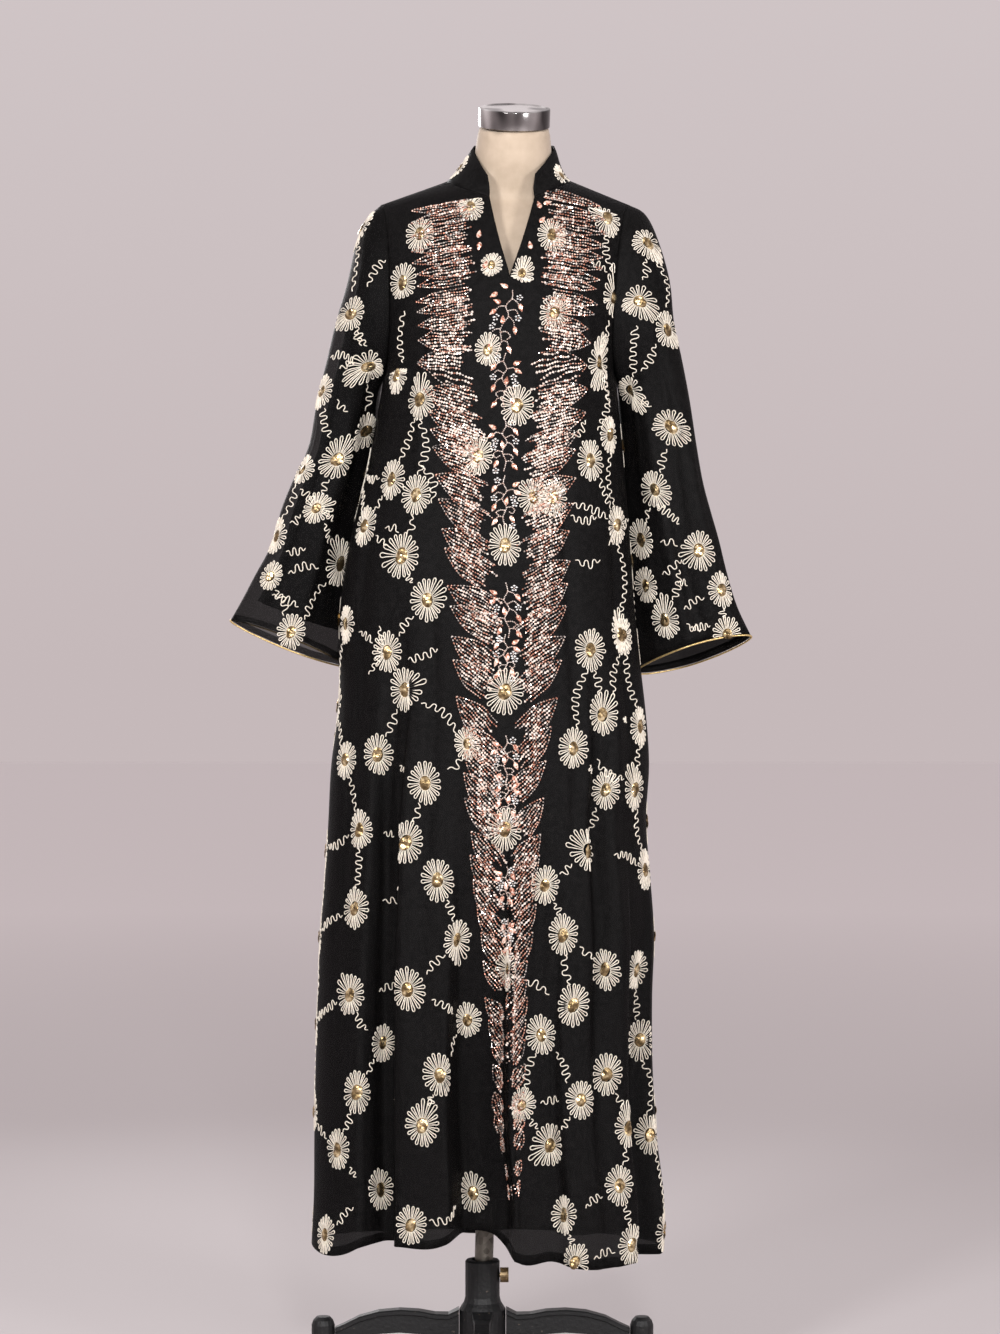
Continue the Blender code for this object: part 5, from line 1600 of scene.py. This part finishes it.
class Sewing:
    """Gathers the sewn work of one cloth, and makes its pieces."""

    def __init__(self, name, cloth, seed):
        self.name, self.cloth = name, cloth
        self.draws = np.random.default_rng(seed)
        self.flowers, self.unsewn = [], []
        self.cords, self.sequins = [], []

    def add_flower(self, row, column, size, fan, turn):
        """A daisy with its sequins; fan is the direction of its longer loops, or None."""
        row, column = float(row), float(column)
        point, right, up, out, _ = self.cloth.frame(row, column)
        self.flowers.append((row, column, size, point))
        line = turned(daisy_line(size * DAISY_WIDTH, size, fan, self.draws), turn)
        points, ways = self.cloth.lay(row, column, line, CORD_LIFT)
        if np.nanmax(np.linalg.norm(points - point, axis=-1)) > DAISY_STRETCH * size:
            self.unsewn.append(len(self.flowers) - 1)
            return
        self.cords.append(corded(points, ways, closed=True))
        core = size * DAISY_CORE
        for along, across, share in CORE_SEQUINS:
            spot = turned(np.array([[core * DAISY_WIDTH * across, core * along]]), turn)
            centre, _ = self.cloth.lay(row, column, spot, SEQUIN_LIFT)
            shape, faces = sequin_shape(core * share * DAISY_WIDTH * SEQUIN_WIDTH, core * share,
                                        SEQUIN_HEIGHT + SEQUIN_HEIGHT_BY_SIZE * share,
                                        self.draws.uniform(-SEQUIN_TILT, SEQUIN_TILT, 2))
            self.sequins.append(copies(shape, faces, centre, right[None], up[None], out[None]))

    def add_link(self, first, second, waves=None):
        """A squiggle between two places: row, column and how far from it the cord starts."""
        (row_a, column_a, room_a), (row_b, column_b, room_b) = first, second
        a, b = self.cloth.frame(row_a, column_a)[0], self.cloth.frame(row_b, column_b)[0]
        row, column = (row_a + row_b) / 2, (column_a + column_b) / 2
        _, right, up, _, _ = self.cloth.frame(row, column)
        across, high = (b - a) @ right, (b - a) @ up
        span = np.hypot(across, high)
        length = span - room_a - room_b
        if length < SQUIGGLE_SHORTEST:
            return
        waves = waves or max(2, int(round(length / SQUIGGLE_WAVE)))
        flat = squiggle_line(length, waves, SQUIGGLE_HEIGHT, self.draws)
        flat[:, 0] += (room_a - room_b) / 2
        flat = turned(flat, np.arctan2(high, across))
        self.cords.append(corded(*self.cloth.lay(row, column, flat, CORD_LIFT)))

    def fill(self, spacing, keep_clear=None):
        """Goes on with the flowers as a staggered repeat wherever the cloth is still bare."""
        rows, columns = self.cloth.grid.shape[:2]
        for row in range(2, rows - 2, FILL_STEP):
            shift = self.draws.uniform(0, FILL_SHIFT)
            for column in np.arange(shift, columns - 1.01, FILL_STEP):
                spot = self.cloth.frame(row, column)[0]
                if not np.isfinite(spot).all():
                    continue
                if keep_clear and keep_clear(spot):
                    continue
                if self.flowers and min(np.linalg.norm(spot - f[3]) for f in self.flowers) < spacing:
                    continue
                size = self.draws.uniform(*FILL_SIZES)
                fan = self.draws.uniform(0, 2 * pi) if self.draws.uniform() < FILL_FANS else None
                self.add_flower(row, column, size, fan, self.draws.uniform(-FILL_TURN, FILL_TURN))

    def link_neighbours(self, avoid=None):
        """Joins flowers to one or two near ones with squiggles."""
        spots = np.array([f[3] for f in self.flowers])
        tied = np.zeros(len(spots), int)
        pairs = []
        for i in range(len(spots)):
            far = np.linalg.norm(spots - spots[i], axis=1)
            pairs += [(far[j], i, int(j)) for j in np.argsort(far)[1:LINK_NEAREST + 1] if j > i]
        for far, i, j in sorted(pairs):
            (row_a, column_a, size_a, _), (row_b, column_b, size_b, _) = self.flowers[i], self.flowers[j]
            gap = far - size_a - size_b
            if tied[i] + tied[j] >= LINK_TIES or not LINK_SHORTEST < gap < LINK_LONGEST:
                continue
            if abs(column_a - column_b) > self.cloth.grid.shape[1] * LINK_ACROSS:
                continue
            if i in self.unsewn or j in self.unsewn:
                continue
            if avoid and avoid((spots[i] + spots[j]) / 2):
                continue
            tied[[i, j]] += 1
            self.add_link((row_a, column_a, size_a * LINK_ROOM),
                          (row_b, column_b, size_b * LINK_ROOM))

    def finish(self, cord, gold):
        """Makes one piece of all the cords, and one of all the sequins."""
        points, faces = joined(self.cords)
        new_piece(f"daisy_cords_{self.name}", points, faces, cord)
        points, faces = joined(self.sequins)
        new_piece(f"daisy_sequins_{self.name}", points, faces, gold, smooth=False)


def leaf_beads(length, half_width, sparkle, draws):
    """A beaded leaf's flat bead places, their directions and finishes, tip at (0, 0) along +X."""
    places, ways, finishes = [], [], []
    full_at = LEAF_FULL_AT * length
    x = np.arange(OUTLINE_START, length * OUTLINE_END, OUTLINE_PITCH)
    half_at = half_width * (1 - (1 - np.minimum(x / full_at, 1)) ** LEAF_ROUNDING)
    for sign in (-1, 1):
        y = sign * half_at
        places.append(np.stack([x, y], -1))
        ways.append(units(np.stack([np.ones_like(x), np.gradient(y, x)], -1)))
        finishes.append(np.where(draws.uniform(size=len(x)) < OUTLINE_SILVER, SILVER, ROSE))
    lines = int(half_width / LEAF_LINE_PITCH)
    for line in range(-lines, lines + 1):
        y = line * LEAF_LINE_PITCH
        if abs(y) > half_width * LEAF_LINES_WITHIN:
            continue
        left_over = max(0.0, 1 - (abs(y) + LEAF_LINE_ROOM) / half_width)
        start = full_at * (1 - left_over ** (1 / LEAF_ROUNDING)) + LEAF_LINE_START
        end = length * draws.uniform(*LEAF_LINE_ENDS)
        x = np.arange(start, end, LEAF_BEAD_PITCH)
        if not len(x):
            continue
        y = np.full(len(x), y) + LEAF_LINE_WAVE * np.sin(x * LEAF_LINE_WAVES + line)
        places.append(np.stack([x, y], -1))
        ways.append(np.tile((1.0, 0.0), (len(x), 1)))
        kind = np.where(draws.uniform(size=len(x)) < ROSE_SHARES[line % 2], ROSE, SILVER)
        # Crystals are thickest where the flash reflects, partly as a painted highlight
        glints = (draws.uniform(size=len(x)) < sparkle) & (x > CRYSTALS_FROM * length)
        finishes.append(np.where(glints, CRYSTAL, kind))
    return np.concatenate(places), np.concatenate(ways), np.concatenate(finishes)


def lay_beads(cloth, row, column, places, ways, lift):
    """Bead centres on the cloth, with their thread, side and outward directions."""
    both = np.concatenate([places, places + ways * THREAD_STEP])
    points, out = cloth.lay(row, column, both, lift)
    centres, out = points[:len(places)], out[:len(places)]
    along = units(points[len(places):] - centres)
    return centres, along, units(np.cross(out, along)), out


def make_bead_bands(cloth, rose, silver, crystal):
    """Two bands of overlapping leaves down the front, tips outward and up."""
    draws = np.random.default_rng(BAND_SEED)
    for side, tips in LEAF_TIPS.items():
        gathered = {ROSE: [], SILVER: [], CRYSTAL: []}
        for number, (column, row) in enumerate(tips):
            x, z = photo_x(column, 4), photo_height(row)
            found = cloth.find(x, z, BEAD_FIND_REACH)
            if found is None:
                continue
            length, tilt, half, sparkle = (LEAVES.at(n, z) for n in (
                "length", "tilt", "half_width", "sparkle"))
            tilt += draws.uniform(-LEAF_TURN, LEAF_TURN)
            places, ways, finishes = leaf_beads(length * draws.uniform(*LEAF_LENGTHS), half, sparkle,
                                                draws)
            angle = -radians(tilt) if side == "left" else pi + radians(tilt)
            if side == "right":
                places = places * (1, -1)
                ways = ways * (1, -1)
            lift = BEAD_LIFT + BAND_LAYER * (number % BAND_LAYERS)
            centres, along, across, out = lay_beads(cloth, found[0], found[1], turned(places, angle),
                                                    turned(ways, angle), lift)
            for kind, copied in gathered.items():
                mine = finishes == kind
                sizes = (CRYSTAL_HALF, CRYSTAL_HALF) if kind == CRYSTAL else (BEAD_HALF_LENGTH,
                                                                              BEAD_HALF_WIDTH)
                shapes = bead_shapes(mine.sum(), *sizes, draws)
                if mine.any():
                    copied.append(copies(shapes, BEAD_FACES, centres[mine], along[mine],
                                         across[mine], out[mine]))
        for kind, name, material, slot in ((ROSE, "rose", rose, "rose_gold_beads"),
                                           (SILVER, "silver", silver, "silver_beads"),
                                           (CRYSTAL, "crystal", crystal, "silver_beads")):
            points, faces = joined(gathered[kind])
            new_piece(f"leaf_beads_{name}_{side}", points, faces, material, smooth=False)


def teardrop_shape():
    """A flat drop of glass, its point towards +X."""
    points = [(DROP_ENDS[0], 0, DROP_MIDDLE)]
    for x, r in DROP_RINGS:
        for k in range(DROP_SIDES):
            a = 2 * pi * k / DROP_SIDES
            points.append((x, r * cos(a), DROP_MIDDLE + DROP_FLAT * r * sin(a)))
    points.append((DROP_ENDS[1], 0, DROP_MIDDLE))
    tip = len(points) - 1
    faces = []
    for k in range(DROP_SIDES):
        n = (k + 1) % DROP_SIDES
        faces += [(0, 1 + n, 1 + k), (tip - DROP_SIDES + k, tip - DROP_SIDES + n, tip)]
        for ring in range(len(DROP_RINGS) - 1):
            a, b = 1 + DROP_SIDES * ring + k, 1 + DROP_SIDES * ring + n
            faces += [(a, b, b + DROP_SIDES), (a, b + DROP_SIDES, a + DROP_SIDES)]
    return points, faces


def make_vine(cloth, rose, white):
    """The beaded vine between the bands: sprigs, one below the other, and drops beside the V."""
    draws = np.random.default_rng(VINE_SEED)
    beads = {"rose": [], "white": [], "pale": []}
    drop, drop_faces = teardrop_shape()

    def add_drop(row, column, x, y, degrees, size):
        way = np.array([[cos(radians(degrees)), sin(radians(degrees))]])
        settled = lay_beads(cloth, row, column, np.array([[x, y]]), way, DROP_LIFT)
        beads["rose"].append(copies(np.array(drop) * size, drop_faces, *settled))

    def add_string(row, column, line, kind, pitch=STRING_PITCH, size=STRING_BEAD):
        line = np.asarray(line, float)
        length = np.concatenate([[0], np.cumsum(np.linalg.norm(np.diff(line, axis=0), axis=1))])
        spots = np.arange(pitch / 2, length[-1], pitch)
        places = np.stack([np.interp(spots, length, line[:, k]) for k in range(2)], -1)
        ways = units(np.gradient(places, axis=0)) if len(places) > 1 else np.array([[1.0, 0.0]])
        settled = lay_beads(cloth, row, column, places, ways, STRING_LIFT)
        shapes = bead_shapes(len(places), pitch / 2, size, draws)
        beads[kind].append(copies(shapes, BEAD_FACES, *settled))

    def add_star(row, column, middle):
        for k in range(STAR_PETALS):
            a = 2 * pi * k / STAR_PETALS + STAR_TURN
            tip = np.array([cos(a), sin(a)])
            add_string(row, column, [middle + tip * reach for reach in STAR_REACH], "white",
                       *PETAL_BEADS)
        x, y = middle
        add_string(row, column, [(x - HEART_REACH, y), (x + HEART_REACH, y)], "pale", *HEART_BEADS)

    def smooth_line(points, per=6):
        table = Table("t x y", *((k, *p) for k, p in enumerate(points)))
        steps = np.linspace(0, len(points) - 1, per * (len(points) - 1) + 1)
        return [(table.at("x", t), table.at("y", t)) for t in steps]

    def placed(points, flip, size):
        return [(flip * x * size * VINE_WIDEN * 0.001, y * size * 0.001) for x, y in points]

    for across, down, mirrored, size in VINE_SPRIGS:
        found = cloth.find(photo_x(across), photo_height(down), BEAD_FIND_REACH)
        if found is None:
            continue
        row, column, flip = found[0], found[1], -1 if mirrored else 1
        for line in SPRIG_STEMS:
            add_string(row, column, smooth_line(placed(line, flip, size)), "pale")
        for *place, degrees in SPRIG_DROPS:
            (x, y), = placed([place], flip, size)
            add_drop(row, column, x, y, 180 - degrees if mirrored else degrees, VINE_DROP_SIZE)
        for place in placed(SPRIG_FLOWERS, flip, size):
            add_star(row, column, np.array(place))
    for across, down, degrees in NECK_DROPS:
        found = cloth.find(photo_x(across), photo_height(down), BEAD_FIND_REACH)
        if found is not None:
            add_drop(found[0], found[1], 0.0, 0.0, degrees, NECK_DROP_SIZE)
    for kind, material, slot in (("rose", rose, "rose_gold_beads"), ("white", white, "silver_beads"),
                                 ("pale", pale_rose_bead(), "rose_gold_beads")):
        points, faces = joined(beads[kind])
        new_piece(f"vine_beads_{kind}", points, faces, material, smooth=False)


def in_bands(spot):
    """Whether a point of the front is on the bands or between them."""
    heights, left, right = BAND_EDGES
    low = np.interp(spot[2], heights, left) - BAND_MARGIN
    high = np.interp(spot[2], heights, right) + BAND_MARGIN
    return low < spot[0] < high


def seen_first(surfaces, names, *places):
    """The cloth nearest to the camera that has all these places of the photo, and where on it."""
    best = None, None
    for name in names:
        found = [surfaces[name].find(photo_x(column), photo_height(row)) for column, row in places]
        if None not in found and (best[1] is None or found[0][2] < best[1][0][2]):
            best = name, found
    return best


def make_daisies(surfaces):
    """Daisies and squiggles placed by the photo, then more of them wherever the cloth is bare."""
    cord, gold = cream_cord(), gold_sequin()
    sewing = {name: Sewing(name, cloth, seed)
              for seed, (name, cloth) in enumerate(surfaces.items(), FIRST_SEWING_SEED)}
    for across, down, size, *fan in FLOWERS:
        name, found = seen_first(surfaces, ("front", "sleeve_left", "sleeve_right", "collar"),
                                 (across, down))
        if name:
            row, column, _ = found[0]
            sewing[name].add_flower(row, column, size * 0.001, radians(*fan) if fan else None,
                                    sewing[name].draws.uniform(-DAISY_TURN, DAISY_TURN))
    for across, down, to_across, to_down, waves in SQUIGGLES:
        name, found = seen_first(surfaces, ("front", "sleeve_left", "sleeve_right"),
                                 (across, down), (to_across, to_down))
        if name:
            (row_a, column_a, _), (row_b, column_b, _) = found
            sewing[name].add_link((row_a, column_a, 0.0), (row_b, column_b, 0.0), waves)
    sewing["front"].fill(FLOWER_SPACING, in_bands)
    sewing["back"].fill(FLOWER_SPACING)
    sewing["sleeve_left"].fill(SLEEVE_SPACING)
    sewing["sleeve_right"].fill(SLEEVE_SPACING)
    for name, piece in sewing.items():
        piece.link_neighbours(in_bands if name == "front" else None)
        piece.finish(cord, gold)


def make_cuff_piping(side, material):
    """A fine twisted gold cord along the cuff's edge."""
    count, around = PIPING_POINTS, PIPING_SIDES
    turns = np.linspace(0, 2 * pi, count, endpoint=False)
    edge = np.array([sleeve_point(side, a, CUFF_STATION) for a in turns])
    above = np.array([sleeve_point(side, a, CUFF_STATION - 1) for a in turns])
    down = units(edge - above)
    centre = edge + down * (PIPING_RADIUS + SEAM_GAP)
    ahead = units(np.roll(centre, -1, 0) - np.roll(centre, 1, 0))
    out = units(np.cross(ahead, down))
    down = np.cross(out, ahead)
    length = np.concatenate([[0], np.cumsum(np.linalg.norm(np.diff(centre, axis=0), axis=1))])
    k = 2 * pi * np.arange(around) / around
    strand = 1 + PIPING_STRAND * np.cos(2 * (k[None, :] - 2 * pi * length[:, None] / PIPING_TWIST))
    ring = (out[:, None] * np.cos(k)[None, :, None] + down[:, None] * np.sin(k)[None, :, None])
    points = centre[:, None] + ring * (PIPING_RADIUS * PIPING_SLIM * strand)[..., None]
    number = np.arange(count * around).reshape(count, around)
    faces = np.stack([number, np.roll(number, -1, 0), np.roll(np.roll(number, -1, 0), -1, 1),
                      np.roll(number, -1, 1)], -1).reshape(-1, 4)
    piece = new_piece(f"gold_piping_{side}", points, faces, material)
    face_outwards(piece)
    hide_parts(f"cuff_piping_{side}")


def face_outwards(piece):
    """Turns all faces of a closed piece the same way, outwards."""
    mesh = bmesh.new()
    mesh.from_mesh(piece.data)
    bmesh.ops.recalc_face_normals(mesh, faces=mesh.faces)
    if mesh.calc_volume(signed=True) < 0:
        bmesh.ops.reverse_faces(mesh, faces=mesh.faces)
    mesh.to_mesh(piece.data)
    mesh.free()


# The dress form and its stand: new pieces made with mesh tools, and finishes

def only(piece):
    """Makes the piece the one that is selected and active."""
    bpy.ops.object.select_all(action="DESELECT")
    piece.select_set(True)
    bpy.context.view_layer.objects.active = piece


def select_faces(piece, wanted):
    """Leaves just the faces selected for which wanted(face) is true, in edit mode."""
    only(piece)
    bpy.ops.object.mode_set(mode="EDIT")
    bpy.ops.mesh.select_mode(type="FACE")
    bpy.ops.mesh.select_all(action="DESELECT")
    bpy.ops.object.mode_set(mode="OBJECT")
    for face in piece.data.polygons:
        face.select = wanted(face)
    bpy.ops.object.mode_set(mode="EDIT")


def apply_modifier(piece, kind, **values):
    """Adds a modifier with these values and applies it."""
    only(piece)
    modifier = piece.modifiers.new(kind.lower(), kind)
    for name, value in values.items():
        setattr(modifier, name, value)
    bpy.ops.object.modifier_apply(modifier=modifier.name)


def put(piece, matrix, material, slot, body, *nodes):
    """Settles a piece made at the origin, with its finish, body and the nodes that it replaces."""
    piece.data.transform(matrix)
    piece.data.materials.clear()
    piece.data.materials.append(material)
    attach(piece, body)
    if nodes:
        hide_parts(*nodes)


def make_form_cover():
    """The form's jersey cover: the solid's own mesh, merged, smoothed and finely divided."""
    solid = bpy.data.objects["form_body"]
    piece = bpy.data.objects.new("jersey_form", solid.data.copy())
    bpy.context.scene.collection.objects.link(piece)
    only(piece)
    bpy.ops.object.mode_set(mode="EDIT")
    bpy.ops.mesh.select_all(action="SELECT")
    bpy.ops.mesh.remove_doubles(threshold=0.0001)
    bpy.ops.mesh.tris_convert_to_quads(face_threshold=radians(60), shape_threshold=radians(60))
    bpy.ops.mesh.normals_make_consistent(inside=False)
    bpy.ops.object.mode_set(mode="OBJECT")
    apply_modifier(piece, "SUBSURF", levels=1, render_levels=1)
    piece.data.shade_smooth()
    put(piece, Matrix(), cream_jersey(), "form_cover", "dressed_form", "form_body")


def make_neck_cap():
    """The chrome cap: a turned disc with a rolled lip and a low dome."""
    bpy.ops.object.select_all(action="DESELECT")
    bpy.ops.mesh.primitive_cylinder_add(vertices=CAP_SIDES, radius=CAP_RADIUS, depth=CAP_HEIGHT,
                                        location=(0, 0, CAP_HEIGHT / 2), end_fill_type="NGON")
    piece = bpy.context.object
    piece.name = "chrome_neck_cap"
    bpy.ops.object.transform_apply(location=True)
    select_faces(piece, lambda f: f.normal.z > 0.9)
    bpy.ops.mesh.inset(thickness=CAP_LIP, depth=0)
    bpy.ops.mesh.inset(thickness=CAP_GROOVE, depth=-CAP_GROOVE)
    for step, rise in CAP_DOME:
        bpy.ops.mesh.inset(thickness=step, depth=rise)
    bpy.ops.object.mode_set(mode="OBJECT")
    apply_modifier(piece, "BEVEL", width=CAP_EDGE, segments=3, limit_method="ANGLE",
                   angle_limit=radians(50))
    only(piece)
    bpy.ops.object.shade_smooth_by_angle(angle=radians(40))
    place = (Matrix.Translation(((CAP_LEFT + CAP_RIGHT) / 2, CAP_MIDDLE, CAP_SEAT))
             @ Matrix.Rotation(atan(CAP_SLOPE), 4, "X") @ Matrix.Rotation(atan(LEAN), 4, "Y")
             @ Matrix.Translation((0, 0, CAP_RAISED)))
    put(piece, place, chrome_painted_reflections(), "chrome", "dressed_form", "neck_cap")


def make_thumb_screw():
    """The knurled brass knob on its screw, pointing out along +X."""
    bpy.ops.object.select_all(action="DESELECT")
    bpy.ops.mesh.primitive_cylinder_add(vertices=KNOB_SIDES, radius=KNOB_RADIUS,
                                        depth=KNOB_OUTER - KNOB_INNER,
                                        location=(0, 0, (KNOB_OUTER + KNOB_INNER) / 2),
                                        end_fill_type="NGON")
    piece = bpy.context.object
    piece.name = "knurled_thumb_screw"
    bpy.ops.object.transform_apply(location=True)
    select_faces(piece, lambda f: abs(f.normal.z) < 0.5 and f.index % 2 == 0)
    bpy.ops.mesh.inset(thickness=KNURL_EDGE, depth=-KNURL_DEPTH, use_individual=True)
    bpy.ops.object.mode_set(mode="OBJECT")
    select_faces(piece, lambda f: f.normal.z > 0.9 and f.area > 1e-5)
    bpy.ops.mesh.inset(thickness=KNOB_RIM, depth=0)
    bpy.ops.mesh.inset(thickness=DISH_EDGE, depth=-DISH_DEPTH)
    bpy.ops.object.mode_set(mode="OBJECT")
    select_faces(piece, lambda f: f.normal.z < -0.9 and f.area > 1e-5)
    bpy.ops.mesh.inset(thickness=KNOB_RADIUS - SCREW_RADIUS, depth=0)
    bpy.ops.mesh.inset(thickness=SHANK_EDGE, depth=KNOB_INNER - SCREW_TIP)
    bpy.ops.object.mode_set(mode="OBJECT")
    only(piece)
    bpy.ops.object.shade_smooth_by_angle(angle=radians(30))
    place = Matrix.Translation((STAND_X, 0, SCREW_HEIGHT)) @ Matrix.Rotation(pi / 2, 4, "Y")
    put(piece, place, antique_brass(), "antique_brass", "thumb_screw", "thumb_screw")


def finish_stand():
    """The castings and the tube keep their solids and get their finishes."""
    iron, tube = black_cast_iron(), galvanised_tube()
    for name in ("stand_socket", *(f"{part}_{way}" for part in ("leg", "foot")
                                   for way in ("front", "back", "left", "right"))):
        for slot in bpy.data.objects[name].material_slots:
            slot.material = iron
    for slot in bpy.data.objects["pole"].material_slots:
        slot.material = tube


def main():
    add_camera()
    add_studio()
    surfaces = make_garment()
    make_daisies(surfaces)
    rose, silver, white = rose_bead(), silver_bead(), white_bead()
    make_bead_bands(surfaces["front"], rose, silver, glint_crystal_bead())
    make_vine(surfaces["front"], rose, white)
    piping = gold_piping_thread()
    for side in ("left", "right"):
        make_cuff_piping(side, piping)
    make_form_cover()
    make_neck_cap()
    make_thumb_screw()
    finish_stand()


main()
